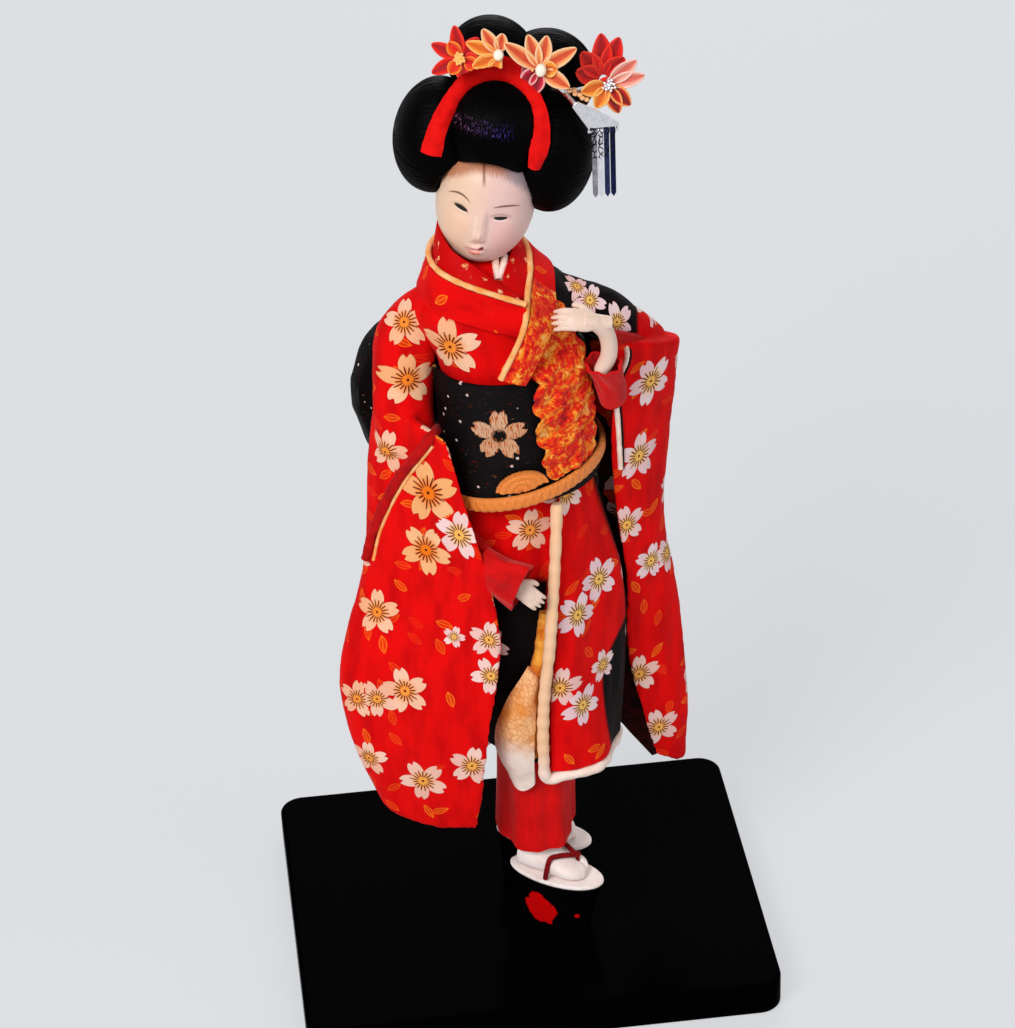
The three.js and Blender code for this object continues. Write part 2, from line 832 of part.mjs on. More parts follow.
const bowTail = (side) =>
  sheet(
    (u, v) => V(
      side * (1.5 + (u * 19 + 1) * (1 + 0.12 * v)),
      1 + 3.5 * Math.sin(v * 2) + 0.8 * Math.sin(u * 5 + v * 4),
      lerp(bowHeight - knotTall, tailEnd, v) - 3 * u,
    ),
    () => tailThick,
    4,
    8,
  );

// Sleeves and arms

function arm(points, gap = 0) {
  const atShoulder = armRadius * 1.3 + gap;
  const atWrist = armRadius * 0.85 + gap;
  return limb(points, [[0, atShoulder, atShoulder], [1, atWrist, atWrist]], 9, 8);
}

const offset = (from, x, y, z) => V(from[0] + x, from[1] + y, from[2] + z);

// A long sleeve folded over the bent arm: it hangs from the armpit, the elbow and the wrist.
function sleeveDrop(armpit, elbow, wrist, folds) {
  const [a, b, c] = [armpit, elbow, wrist].map(spline);
  return sheet(
    (u, v) => {
      const from = a.getPoint(v);
      const to = c.getPoint(v);
      const bend = b.getPoint(v).multiplyScalar(2).addScaledVector(from, -0.5).addScaledVector(to, -0.5);
      const out = V(to.y - from.y, from.x - to.x, 0).normalize();
      const point = from.multiplyScalar((1 - u) ** 2).addScaledVector(bend, 2 * u * (1 - u));
      point.addScaledVector(to, u * u);
      const swing = folds * Math.sin(u * 13 + v * 1.5) * THREE.MathUtils.smoothstep(v, 0.05, 0.5);
      const hang = Math.sin(Math.PI * THREE.MathUtils.clamp((u - 0.35) / 0.65, 0, 1));
      const dip = 6 * hang * THREE.MathUtils.smoothstep(v, 0.7, 1);
      return point.addScaledVector(out, swing).add(V(0, 0, -dip));
    },
    (u, v) => {
      const edge = Math.min(1, 0.35 + 4 * Math.min(u, 1 - u));
      const foot = Math.min(1, 0.4 + 6 * (1 - v));
      return sleeveThick * edge * foot;
    },
    10,
    8,
  );
}

function sleeveRightForm() {
  const armpit = [
    offset(shoulderRight, -4, 5, -18),
    offset(shoulderRight, -7, 8, -64),
    offset(shoulderRight, -11, 8, -110),
    offset(shoulderRight, -15, 5, -150),
    offset(shoulderRight, -13, 1, -186),
  ];
  const elbow = [
    offset(elbowRight, -6, 5, 27),
    offset(elbowRight, -10, 3, -4),
    offset(elbowRight, -13.5, -3, -45),
    offset(elbowRight, -25.5, -11, -91),
    offset(elbowRight, -15, -15, -138),
  ];
  const wrist = [
    offset(wristRight, -19, 7, 54),
    offset(wristRight, -10, 0, 18),
    offset(wristRight, -3, -3, -22),
    offset(wristRight, -8, -3, -66),
    offset(wristRight, -14, 2, -111),
  ];
  const upper = limb(
    [
      offset(shoulderRight, 4, 1, 3),
      offset(shoulderRight, -8, 0, -7),
      offset(shoulderRight, -12, -2, -28),
      offset(elbowRight, 1, -1, 2),
    ],
    [[0, 9, 9], [0.35, 11, 11], [1, 10.5, 10.5]],
    4,
    10,
  );
  return join(sleeveDrop(armpit, elbow, wrist, 0.9), upper);
}

function sleeveLeftForm() {
  const armpit = [
    offset(shoulderLeft, 10, 9, -11),
    offset(shoulderLeft, 11, 12, -54),
    offset(shoulderLeft, 13, 14, -99),
    offset(shoulderLeft, 12, 16, -139),
    offset(shoulderLeft, 11, 17, -170),
  ];
  const elbow = [
    offset(elbowLeft, 7.5, 0, 3),
    offset(elbowLeft, 3.5, 2, -36),
    offset(elbowLeft, 2, 2, -76),
    offset(elbowLeft, 8, 2, -121),
    offset(elbowLeft, 8.5, 1, -172),
  ];
  const wrist = [
    offset(wristLeft, 3, 2, -4),
    offset(wristLeft, 1.5, 7, -55),
    offset(wristLeft, 7, 11, -105),
    offset(wristLeft, 8, 14, -147),
    offset(wristLeft, 18, 20, -196),
  ];
  const upper = limb(
    [offset(shoulderLeft, -10, 1, 8), offset(shoulderLeft, 12, 2, -2), offset(elbowLeft, 0, 0, 0)],
    [[0, 9, 10.5], [0.6, 9, 9], [1, 6.5, 6.5]],
    4,
    10,
  );
  return join(sleeveDrop(armpit, elbow, wrist, 0.8), upper);
}

// The plain red inner cuffs that show at the wrists: open tubes whose mouths flare round the hands.
const cuffRadii = (mouth, out) => [
  [0, 5 + out, 6 + out],
  [0.6, 6 + out, mouth * 0.85 + out],
  [1, 7.4 + out, mouth + out],
];

function cuff(points, mouth) {
  const inner = points[0].clone().lerp(points[1], 0.1);
  const past = points[2].clone().lerp(points[1], -0.2);
  const hollow = limb([inner, points[1], points[2], past], cuffRadii(mouth, -cuffWall), 3, 8);
  return cut(limb(points, cuffRadii(mouth, 0), 3, 8), hollow);
}

const cuffRightPath = [
  offset(wristRight, -9, 5, 5),
  offset(wristRight, -2, 0, 0),
  offset(wristRight, 5, -4, -3),
];
const cuffLeftPath = [
  offset(wristLeft, 5, 8, -3),
  offset(wristLeft, 0, 0, 0),
  offset(wristLeft, -3, -5, 2),
];
const mouthRight = 9.6;
const mouthLeft = 7;

// A small hand along +X, palm down: four fingers side by side and a thumb.
function handForm(curl) {
  const palm = ball(4, 0, 0, 5.4, 3.6, 1.9, 8, 5);
  const fingers = [-1, 0, 1, 2].map((i) => {
    const y = (i - 0.5) * 1.75;
    const long = 5.2 - 0.7 * Math.abs(i - 0.4);
    const joint = V(8.6 + long * 0.3, y * 1.02, -curl * 0.5);
    return tube([V(6.5, y, 0), joint, V(8 + long, y * 1.05, -curl * 2.4)], fingerRadius, 2, 5);
  });
  const thumb = tube([V(2, -2.6, 0), V(4.5, -4.4, -0.6), V(7.2, -4.9, -1.4)], fingerRadius, 2, 5);
  const wrist = limb([V(-3, 0, 0), V(0, 0, 0), V(3, 0, 0)], [[0, 2.1, 1.9], [1, 3, 1.8]], 2, 8);
  return join(palm, ...fingers, thumb, wrist);
}

function placedHand(curl, mirror, from, toward, roll, size = 1) {
  const hand = handForm(curl).scale(size, size, size);
  if (mirror) hand.scale(1, -1, 1);
  const x = V(...toward).normalize();
  const y = V(0, 0, 1).cross(x).normalize();
  const z = x.clone().cross(y);
  const frame = new THREE.Matrix4().makeBasis(x, y, z).setPosition(from);
  return geometryOf(solid(hand.rotateX(degrees(roll)).applyMatrix4(frame)));
}

// The head, made about its own middle with the face to -Y, then set on the neck

// Share of the half height, then share of the half width.
const faceWidths = [
  [-1, 0.2],
  [-0.9, 0.45],
  [-0.73, 0.66],
  [-0.49, 0.84],
  [-0.2, 0.95],
  [0.15, 1],
  [0.44, 0.99],
  [0.68, 0.91],
  [0.88, 0.71],
  [1, 0.4],
];

// The face's surface, from the angle round the head (0 is the nose) and the height above its middle.
function facePoint(angle, z) {
  const wide = along(faceWidths, z / faceHalfHeight) * faceHalfWidth;
  const x = wide * Math.sin(angle);
  const front = Math.cos(angle) > 0;
  const share = wide / faceHalfWidth;
  const round = front ? faceDepth * share ** 0.75 : (faceDepth - 1) * share;
  let y = -round * Math.cos(angle);
  if (front) {
    const nose = 2.9 * bell(x, 1.9) * bell(z + 6.2, 2.2) + 1.5 * bell(x, 1.6) * bell(z + 2.2, 4);
    const mouth = 1.0 * bell(x, 2.6) * bell(z + 11, 1.9);
    const chin = 1.1 * bell(x, 4) * bell(z + 16.5, 3);
    const socket = 0.9 * bell(Math.abs(x) - 6.2, 3.2) * bell(z - 0.6, 2.6);
    y -= nose + mouth + chin - socket;
  }
  return V(x, y, z);
}

function skull() {
  const sides = 20;
  const shares = [-1, -0.9, -0.73, -0.6, -0.53, -0.45, -0.37, -0.3, -0.15, 0.05, 0.4, 0.7, 0.9, 1];
  return loft(
    shares.map((share) =>
      Array.from({ length: sides }, (_, j) => {
        const even = (j / sides) * Math.PI * 2 - Math.PI;
        return facePoint(even - 0.32 * Math.sin(even), share * faceHalfHeight);
      }),
    ),
  );
}

const headFrame = new THREE.Matrix4()
  .makeRotationFromEuler(new THREE.Euler(degrees(headNod), degrees(headLean), degrees(headTurn), "ZYX"))
  .setPosition(neckX - 0.5, neckY, headHeight);
const onHead = (geometry) => geometryOf(solid(geometry.clone().applyMatrix4(headFrame)));

function ribbonBand() {
  const middle = spline([
    [-21, -15.6, 19.6],
    [-20.8, -13.6, 31],
    [-17.2, -11, 39.3],
    [-11, -10, 45.6],
    [-1.9, -9.5, 49.8],
    [8.2, -10, 44.8],
    [13.8, -11.5, 37.4],
    [15.6, -13.6, 29.6],
    [14.6, -15, 21.8],
  ]);
  return sheet(
    (u, v) => {
      const point = middle.getPoint(v);
      const ahead = middle.getTangent(v);
      const across = V(ahead.z, 0, -ahead.x).normalize();
      const half = 3.3 + 1.4 * bell(v - 0.48, 0.15);
      return point.addScaledVector(across, (u - 0.5) * 2 * half).add(V(0, -1.2 * Math.sin(Math.PI * u), 0));
    },
    () => 1.6,
    3,
    18,
  );
}

// A folded-silk flower facing -Y: pointed petals round a bead. A petal is a pinched loop of cloth, given
// as its degrees round the bead and its reach.
function silkFlower(petals, width, cup) {
  const pieces = [ball(0, -1, 0, 2, 1.8, 2, 6, 4)];
  for (const [turn, reach] of petals) {
    const a = degrees(turn);
    const petal = sheet(
      (u, v) => {
        const out = 1.3 + v * reach;
        const side = (u - 0.5) * 2 * width * Math.sin(Math.PI * (0.05 + 0.9 * v));
        const depth = -cup * v * v - 1.1 * Math.abs(u - 0.5) * 2 * Math.sin(Math.PI * v);
        return V(
          Math.cos(a) * out - Math.sin(a) * side,
          depth,
          Math.sin(a) * out + Math.cos(a) * side,
        );
      },
      (u, v) => 1 + 0.7 * Math.sin(Math.PI * v),
      2,
      2,
    );
    pieces.push(petal);
  }
  return join(...pieces);
}

// The side ornament's silver plate: a fan that widens from the hairpin's end to the bar that it carries.
function fanPlate() {
  const shape = new THREE.Shape();
  shape.moveTo(-barHalf, plateFoot);
  shape.lineTo(-plateReach - plateTip, plateRise - plateTip);
  shape.lineTo(-plateReach + plateTip, plateRise + plateTip);
  shape.quadraticCurveTo(plateReach * 0.1, plateRise * 0.6, barHalf, plateFoot + 1);
  shape.lineTo(barHalf, plateFoot);
  shape.closePath();
  return new THREE.ExtrudeGeometry(shape, { depth: plateThick, curveSegments: 4, bevelEnabled: false })
    .rotateX(Math.PI / 2)
    .translate(0, plateThick / 2, 0);
}

// One silver drop: a flat strip with a pointed foot, hung by an eye on the bar along X.
function silverDrop(i) {
  const eye = barRadius + seatGap + eyeWall;
  const strip = new THREE.Shape();
  strip.moveTo(-dropWidth / 2, -0.4);
  strip.lineTo(-dropWidth / 2, -dropLength + 1.4);
  strip.lineTo(0, -dropLength);
  strip.lineTo(dropWidth / 2, -dropLength + 1.4);
  strip.lineTo(dropWidth / 2, -0.4);
  strip.closePath();
  const flat = new THREE.ExtrudeGeometry(strip, { depth: dropThick, bevelEnabled: false })
    .rotateX(Math.PI / 2)
    .translate(0, dropThick / 2, 0);
  const collar = new THREE.CylinderGeometry(eye, eye, dropWidth, 8).rotateZ(Math.PI / 2);
  const round = barRadius + seatGap;
  const bore = new THREE.CylinderGeometry(round, round, dropWidth + 2, 8).rotateZ(Math.PI / 2);
  const x = (i - (dropCount - 1) / 2) * dropPitch;
  return cut(join(flat, collar), bore).translate(x, 0, 0);
}

// Assembly

const doll = new THREE.Group();
doll.name = "doll";
const standing = new THREE.Group();
standing.position.z = boardThick + sandalHeight;
doll.add(standing);

const finish = {
  lacquer: [0x050506, 0.12, 0],
  steel: [0x9a9da0, 0.35, 1],
  sandal: [0x070606, 0.2, 0],
  cover: [0xeee6e2, 0.7, 0],
  strap: [0x7c0a0c, 0.6, 0],
  sock: [0xf3e6df, 0.8, 0],
  wood: [0xb88a5a, 0.7, 0],
  under: [0xc80606, 0.75, 0],
  kimono: [0xd80808, 0.7, 0],
  lining: [0xf0a860, 0.75, 0],
  piping: [0xf2a04a, 0.7, 0],
  sash: [0x0a0808, 0.6, 0],
  cord: [0xd8790f, 0.6, 0],
  silk: [0xcf4a10, 0.7, 0],
  skin: [0xf0cfb8, 0.5, 0],
  hair: [0x040405, 0.35, 0],
  ribbon: [0xdd0a04, 0.7, 0],
  petalRed: [0xd40a08, 0.7, 0],
  petalPeach: [0xf2b48c, 0.7, 0],
  silver: [0xc9ccd2, 0.25, 1],
};

function add(parent, name, geometry, look) {
  const [color, roughness, metalness] = finish[look];
  const mesh = new THREE.Mesh(geometry, new THREE.MeshStandardMaterial({ color, roughness, metalness }));
  mesh.name = name;
  parent.add(mesh);
  return geometry;
}

// Feet, sandals and pins: the pins run from the board through sandal and foot into the legs.
const feet = [
  ["right", footRight, -1],
  ["left", footLeft, 1],
];
const soleTop = boardThick + sandalHeight;
const boardPins = [];
const legRooms = [];
for (const [side, foot, which] of feet) {
  const ankle = ankleOf(foot);
  const pinLow = 1 - soleTop;
  const pin = rod(pinRadius, pinLow, ankleHeight + pinInLeg, 10).translate(ankle.x, ankle.y, 0);
  const pinRoom = rod(pinRadius + seatGap, pinLow - seatGap, ankleHeight + pinInLeg + seatGap, 10);
  pinRoom.translate(ankle.x, ankle.y, 0);
  boardPins.push(pinRoom.clone().translate(0, 0, soleTop));
  legRooms.push(leg(foot, which, seatGap));
  add(standing, `support_pin_${side}`, pin, "steel");
  const block = inStep(sandalBlock(), foot, seatGap - sandalHeight);
  add(standing, `sandal_block_${side}`, cut(block, pinRoom), "sandal");
  add(standing, `sandal_cover_${side}`, cut(inStep(sandalTop(), foot, -sandalHeight), pinRoom), "cover");
  add(standing, `sandal_strap_${side}`, inStep(thong(foot.inner), foot, 0), "strap");
  add(standing, `sock_foot_${side}`, cut(inStep(sock(foot.inner), foot, 0), pinRoom), "sock");
  add(standing, `leg_${side}`, cut(leg(foot, which), pinRoom), "wood");
}
add(doll, "base_board", cut(boardBlank(), ...boardPins), "lacquer");

// Head, neck and peg
const neckTop = 268;
const neckFoot = neckBase - 5;
const pegTop = neckFoot - seatGap;
const pegFoot = pegTop - pegDepth;
const atNeck = (geometry) => geometry.translate(neckX, neckY, 0);
const neckRoom = atNeck(rod(neckRadius + neckTurnGap, neckFoot - seatGap, neckTop, 14));
const pegRoom = atNeck(rod(pegRadius + seatGap, pegFoot - seatGap, pegTop + 1, 10));
const head = join(onHead(skull()), atNeck(rod(neckRadius, neckFoot, neckTop, 14)));
const headRoom = onHead(ball(0, 0, 0, faceHalfWidth + 1.8, faceDepth + 3, faceHalfHeight + 1.8, 12, 8));
add(standing, "head", head, "skin");
add(standing, "neck_peg", atNeck(rod(pegRadius, pegFoot, pegTop, 10)), "wood");

// Body, arms and hands
const armRightPath = [shoulderRight, elbowRight, wristRight];
const armLeftPath = [shoulderLeft, elbowLeft, wristLeft];
const torso = cut(torsoForm(), pegRoom);
const armRight = cutRound(arm(armRightPath), torsoForm());
const armLeft = cutRound(arm(armLeftPath), torsoForm());
const handRightForm = placedHand(0.9, true, offset(wristRight, 2.6, -1.8, -2.4), [0.72, -0.35, -0.6], 60);
const raisedHand = placedHand(1.6, false, offset(wristLeft, -5.5, -11, 12.3), [-0.95, -0.08, 0.22], -50, 1.15);
const bentWrist = limb(
  [offset(wristLeft, -1, -1.5, 1), offset(wristLeft, -2, -6, 7), offset(wristLeft, -6.5, -11, 12.3)],
  [[0, 2.6, 2.6], [1, 3, 2.8]],
  3,
  6,
);
const handLeftForm = join(raisedHand, bentWrist);
const handRight = cutRound(handRightForm, armRight);
const handLeft = cutRound(handLeftForm, armLeft);
add(standing, "torso", torso, "wood");
add(standing, "arm_right", armRight, "wood");
add(standing, "arm_left", armLeft, "wood");
add(standing, "hand_right", handRight, "skin");
add(standing, "hand_left", handLeft, "skin");

// Robes, from the inside out
const armRooms = [arm(armRightPath, seatGap), arm(armLeftPath, seatGap)];
const torsoRoom = grown(torsoForm());
add(standing, "underskirt", cut(underskirtForm(), ...legRooms), "under");
const roll = edgeRoll();
const skirt = cut(skirtForm(), underskirtRoom(), ...legRooms, torsoRoom);
add(standing, "kimono_skirt", skirt, "kimono");
add(standing, "skirt_edge_roll", cutRound(roll, skirt), "lining");
const flap = cutRound(liningFlap(), roll, skirt);
add(standing, "skirt_lining_flap", flap, "lining");
const bodice = cut(bodiceForm(), torsoRoom, ...armRooms, neckRoom, pegRoom);
add(standing, "kimono_bodice", bodice, "kimono");

const sash = sashForm();
const cord = cordForm();
const arch = cordArch();
add(standing, "sash_band", sash, "sash");
add(standing, "sash_cord", cord, "cord");
add(standing, "sash_cord_arch", arch, "cord");

const bodiceRoom = grown(bodiceForm());
const sashRoom = grown(sash);
const innerRight = cut(collarBand(innerRightTop, pipedRight), bodiceRoom, headRoom);
const innerLeftForm = collarBand(innerLeftTop, pipedLeft.slice(0, innerLeftEnd));
const innerLeft = cut(innerLeftForm, bodiceRoom, headRoom, grown(innerRight));
const inners = [grown(innerRight), grown(innerLeft)];
const collarRightForm = collarBand(pushed(pipedRight, collarOut), pushed(lowerRight, 0.6));
const collarRight = cut(collarRightForm, bodiceRoom, ...inners);
const collarLeftForm = collarBand(pushed(pipedLeft, collarOut), pushed(lowerLeft, 0.9));
const collarLeft = cut(collarLeftForm, bodiceRoom, ...inners, grown(collarRight), sashRoom);
const collars = [...inners, grown(collarRight), grown(collarLeft)];
const pipingLeft = cut(piping(pipedLeft, lowerLeft), bodiceRoom, ...collars, sashRoom);
const pipingRight = cut(piping(pipedRight, lowerRight), bodiceRoom, ...collars, grown(pipingLeft));
add(standing, "inner_collar_right", innerRight, "under");
add(standing, "inner_collar_left", innerLeft, "under");
add(standing, "collar_right", collarRight, "kimono");
add(standing, "collar_left", collarLeft, "kimono");
add(standing, "collar_piping_right", pipingRight, "piping");
add(standing, "collar_piping_left", pipingLeft, "piping");
const silk = cut(silkFall(), bodiceRoom, ...collars, grown(pipingLeft), grown(arch));
add(standing, "crinkled_silk", silk, "silk");

const wings = behind(bowWings());
const wingsRoom = grown(wings);
const knot = cut(behind(bowKnot()), wingsRoom);
add(standing, "bow_wings", wings, "sash");
add(standing, "bow_knot", knot, "sash");
add(standing, "bow_tail_right", cut(behind(bowTail(-1)), wingsRoom, grown(knot)), "sash");
add(standing, "bow_tail_left", cut(behind(bowTail(1)), wingsRoom, grown(knot)), "sash");

// Sleeves and cuffs, with the room that the body and the sash take
const beltOut = cordInside + cordThick + seatGap;
const robeOut = 1.8;
const bodyRoom = loft([
  ...[skirtHem, 82, 108, 128, hipHeight, sashBottom - 4].map((h) => bodyRing(h, robeOut, 14)),
  ...[sashBottom - 1, sashTop + 1].map((h) => bodyRing(h, beltOut, 14)),
  ...[226, shoulderHeight, neckBase].map((h) => bodyRing(h, robeOut, 14)),
]);
const cuffRight = cut(cuff(cuffRightPath, mouthRight), armRooms[0], bodyRoom);
const cuffLeft = cut(cuff(cuffLeftPath, mouthLeft), armRooms[1], grown(handLeft));
const cuffRoomRight = limb(cuffRightPath, cuffRadii(mouthRight, sleeveGap), 3, 10);
const cuffRoomLeft = limb(cuffLeftPath, cuffRadii(mouthLeft, sleeveGap), 3, 10);
const sleeveRight = cut(sleeveRightForm(), armRooms[0], cuffRoomRight, bodyRoom, wingsRoom);
const sleeveLeft = cut(sleeveLeftForm(), armRooms[1], cuffRoomLeft, grown(handLeft), bodyRoom);
add(standing, "cuff_right", cuffRight, "under");
add(standing, "cuff_left", cuffLeft, "under");
add(standing, "sleeve_right", sleeveRight, "kimono");
add(standing, "sleeve_left", sleeveLeft, "kimono");

// Hair
const headGrown = grown(head);
const ribbon = onHead(ribbonBand());
const ribbonRoom = grown(ribbon);
const lump = (x, y, z, rx, ry, rz) => (gap) =>
  onHead(ball(x, y, z, rx + gap, ry + gap, rz + gap, 10, 7));
const frontLump = lump(0, -2.5, 27.5, 17.5, 16, 17.5);
const backLump = lump(0, 12, 15, 19, 14, 18);
const bunRight = lump(-6, 13, 47, 15.5, 14, 15);
const bunLeft = lump(14, 12, 44, 17, 15, 17);
const hairRooms = [frontLump(hairGap), backLump(hairGap)];
const foreheadRoom = onHead(
  new THREE.CylinderGeometry(1, 1, 30, 20).scale(hairlineWide, 1, hairlineHigh).translate(-0.5, -22, 0),
);
const hairFront = cut(frontLump(0), headGrown, foreheadRoom, ribbonRoom);
const hairBack = cut(backLump(0), headGrown, hairRooms[0]);
const topknot = cut(join(bunRight(0), bunLeft(0)), ...hairRooms, ribbonRoom);
const bunRooms = [bunRight(hairGap), bunLeft(hairGap)];
const topRoom = join(...bunRooms);
const sideLump = (side) => lump(side * 20.5, 3, 20, 15, 17, 21)(0);
const sideHair = (side) =>
  cut(sideLump(side), headGrown, foreheadRoom, ...hairRooms, ...bunRooms, ribbonRoom);
const wingRight = sideHair(-1);
const wingLeft = sideHair(1);
add(standing, "hair_front", hairFront, "hair");
add(standing, "hair_back", hairBack, "hair");
add(standing, "hair_topknot", topknot, "hair");
add(standing, "hair_side_right", wingRight, "hair");
add(standing, "hair_side_left", wingLeft, "hair");
add(standing, "hair_ribbon", ribbon, "ribbon");

// Silk flowers along the top, then the side ornament with its pin, plate, bar and drops
const flower = (spot, make, turnZ, tiltX, ...rooms) => {
  const form = silkFlower(...make).rotateX(degrees(tiltX)).rotateZ(degrees(turnZ)).translate(...spot);
  return cut(onHead(form), ...rooms);
};
const crown = [ribbonRoom, topRoom];
const redPetals = [[114, 10], [169, 10], [221, 10], [60, 8.5], [295, 6.5], [10, 6]];
const peachPetals = [[133, 9], [170, 10.5], [215, 8.5], [90, 6], [262, 5.5]];
const mainPetals = [[150, 14.2], [117, 11.5], [86, 10.5], [37, 13], [335, 10.5], [262, 7], [220, 7]];
const tallPetals = [[103, 15.5], [80, 14.5], [136, 12], [167, 9.5], [58, 9]];
const sidePetals = [[50, 11.5], [22, 11.5], [246, 7.5], [297, 9], [324, 9], [198, 8.5]];
const flowerRed = flower([-15.2, -9, 53.2], [redPetals, 2.4, 2], -18, -14, ...crown);
const redRoom = grown(flowerRed);
const flowerPeach = flower([-2.8, -11.5, 57.5], [peachPetals, 2.3, 1.5], -4, -18, ...crown, redRoom);
const peachRoom = grown(flowerPeach);
const flowerRooms = [...crown, redRoom, peachRoom];
const flowerMain = flower([11.5, -12, 55], [mainPetals, 2.7, 1.8], 10, -14, ...flowerRooms);
const sideRed = flower([33.2, 2, 50.5], [tallPetals, 3.6, 3], 14, -6, topRoom);
const sidePink = flower([35.1, -3, 50.5], [sidePetals, 2.8, 2.4], 12, -8, grown(sideRed));
add(standing, "flower_red", flowerRed, "petalRed");
add(standing, "flower_peach", flowerPeach, "petalPeach");
add(standing, "flower_main", flowerMain, "petalPeach");
add(standing, "flower_side_red", sideRed, "petalRed");
add(standing, "flower_side_pink", sidePink, "petalPeach");

const plateSpot = V(34.5, -9, 45).applyMatrix4(headFrame);
const barSpot = V(plateSpot.x, plateSpot.y, plateSpot.z - barDrop);
const bar = rod(barRadius, -barHalf, barHalf, 8).rotateY(Math.PI / 2);
const lug = (side) => ball(side * (barHalf - lugHalf * 0.7), 0, plateFoot, lugHalf, barRadius, plateFoot, 6, 4);
const plateForm = join(fanPlate(), bar, lug(-1), lug(1)).translate(barSpot.x, barSpot.y, barSpot.z);
const ornamentNear = [grown(sideRed), grown(sidePink), grown(wingLeft)];
const plate = cut(plateForm, ...ornamentNear);
const inHead = (x, y, z) => V(x, y, z).applyMatrix4(headFrame);
const plateTop = barSpot.clone().add(V(-plateReach, 0, plateRise));
const pinPath = tube([inHead(14, 0, 44), inHead(20, -6, 46.5), plateTop], hairPinRadius, 4, 6);
const stalk = tube([inHead(19, -5, 46.2), inHead(27, -4, 47.5), inHead(34, 1, 50.5)], hairPinRadius, 3, 6);
const hairPin = join(pinPath, stalk);
add(standing, "ornament_plate", plate, "silver");
add(standing, "ornament_pin", cut(hairPin, topRoom, ...ornamentNear, grown(plate)), "silver");
for (let i = 0; i < dropCount; i++) {
  const drop = silverDrop(i).translate(barSpot.x, barSpot.y, barSpot.z);
  add(standing, `silver_drop_${i + 1}`, drop, "silver");
}

export default doll;
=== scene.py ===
"""The looks of a maiko doll on a lacquered board: silk, plaster, hair and silver round a fixed frame.

Forms are worked out in millimetres in the frame's own axes and written in metres. Heights of the
standing figure are measured from the sandals' tops. "Right" is the figure's own right side, which lies
at the viewer's left.
"""

import math

import bmesh
import bpy
import numpy as np
from mathutils import Matrix, Vector
from mathutils.bvhtree import BVHTree


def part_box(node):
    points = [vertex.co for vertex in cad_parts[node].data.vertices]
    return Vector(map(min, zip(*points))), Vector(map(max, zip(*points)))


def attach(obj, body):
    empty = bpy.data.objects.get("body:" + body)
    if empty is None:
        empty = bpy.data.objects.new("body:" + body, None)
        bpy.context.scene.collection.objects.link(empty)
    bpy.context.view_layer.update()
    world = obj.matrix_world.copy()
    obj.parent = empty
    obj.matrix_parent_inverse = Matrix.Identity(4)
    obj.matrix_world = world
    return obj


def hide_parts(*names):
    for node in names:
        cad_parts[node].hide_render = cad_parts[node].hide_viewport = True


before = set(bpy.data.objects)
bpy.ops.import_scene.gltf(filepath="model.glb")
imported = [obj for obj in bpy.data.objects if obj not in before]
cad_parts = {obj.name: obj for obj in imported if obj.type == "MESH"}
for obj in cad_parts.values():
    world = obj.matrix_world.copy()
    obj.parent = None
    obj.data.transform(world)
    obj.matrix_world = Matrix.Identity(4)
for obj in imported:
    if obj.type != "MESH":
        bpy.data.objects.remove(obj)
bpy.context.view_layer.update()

MM = 0.001
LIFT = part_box("sandal_cover_right")[1].z / MM
SEAT = 0.3
SKIRT_HEM = 54
BAR_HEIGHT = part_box("silver_drop_1")[1].z / MM - 1

# Camera: the photograph's own view, with its focal length and centre in pixels
PHOTO_WIDTH, PHOTO_HEIGHT = 1015, 1028
FOCAL = 3600
CENTRE_X, CENTRE_Y = PHOTO_WIDTH / 2, PHOTO_HEIGHT / 2
EYE = np.array([-115.06, -1117.48, 874.38])
AHEAD = np.array([0.08732095, 0.84788186, -0.52294493])
RIGHT = np.array([0.99186845, -0.12278903, -0.03346375])
UP = np.array([0.09258521, 0.5157705, 0.85170932])


def shown(name, data):
    """An object of the scene that shows this data."""
    made = bpy.data.objects.new(name, data)
    bpy.context.scene.collection.objects.link(made)
    return made


def make_camera():
    data = bpy.data.cameras.new("camera")
    data.sensor_width = 36
    data.lens = FOCAL / PHOTO_HEIGHT * data.sensor_width
    camera = shown("camera", data)
    turn = Matrix([[RIGHT[i], UP[i], -AHEAD[i], EYE[i] * MM] for i in range(3)] + [[0, 0, 0, 1]])
    camera.matrix_world = turn
    bpy.context.scene.camera = camera


make_camera()


# Number helpers, all of which take arrays

def bell(x, width):
    return np.exp(-((x / width) ** 2))


def ease(x, low, high):
    t = np.clip((x - low) / (high - low), 0, 1)
    return t * t * (3 - 2 * t)


def mixed(a, b, share):
    return a + (b - a) * share


def stacked(*arrays):
    """Arrays spread to one shape, as the coordinates of points."""
    return np.stack(np.broadcast_arrays(*arrays), -1)


def circle(count):
    """Angles once round, without the last one."""
    return np.linspace(0, 2 * np.pi, count, endpoint=False)


def along(rows, place, column=1):
    """A value read off rows of (place, value, ...), smooth between them."""
    rows = np.asarray(rows, float)
    place = np.asarray(place, float)
    x, y = rows[:, 0], rows[:, column]
    i = np.clip(np.searchsorted(x, place, side="left") - 1, 0, len(x) - 2)
    before, after = np.maximum(i - 1, 0), np.minimum(i + 2, len(x) - 1)
    step = x[i + 1] - x[i]
    t = np.clip((place - x[i]) / step, 0, 1)
    m0 = (y[i + 1] - y[before]) / (x[i + 1] - x[before]) * step
    m1 = (y[after] - y[i]) / (x[after] - x[i]) * step
    t2, t3 = t * t, t**3
    near, far = (2 * t3 - 3 * t2 + 1) * y[i], (3 * t2 - 2 * t3) * y[i + 1]
    return near + (t3 - 2 * t2 + t) * m0 + far + (t3 - t2) * m1


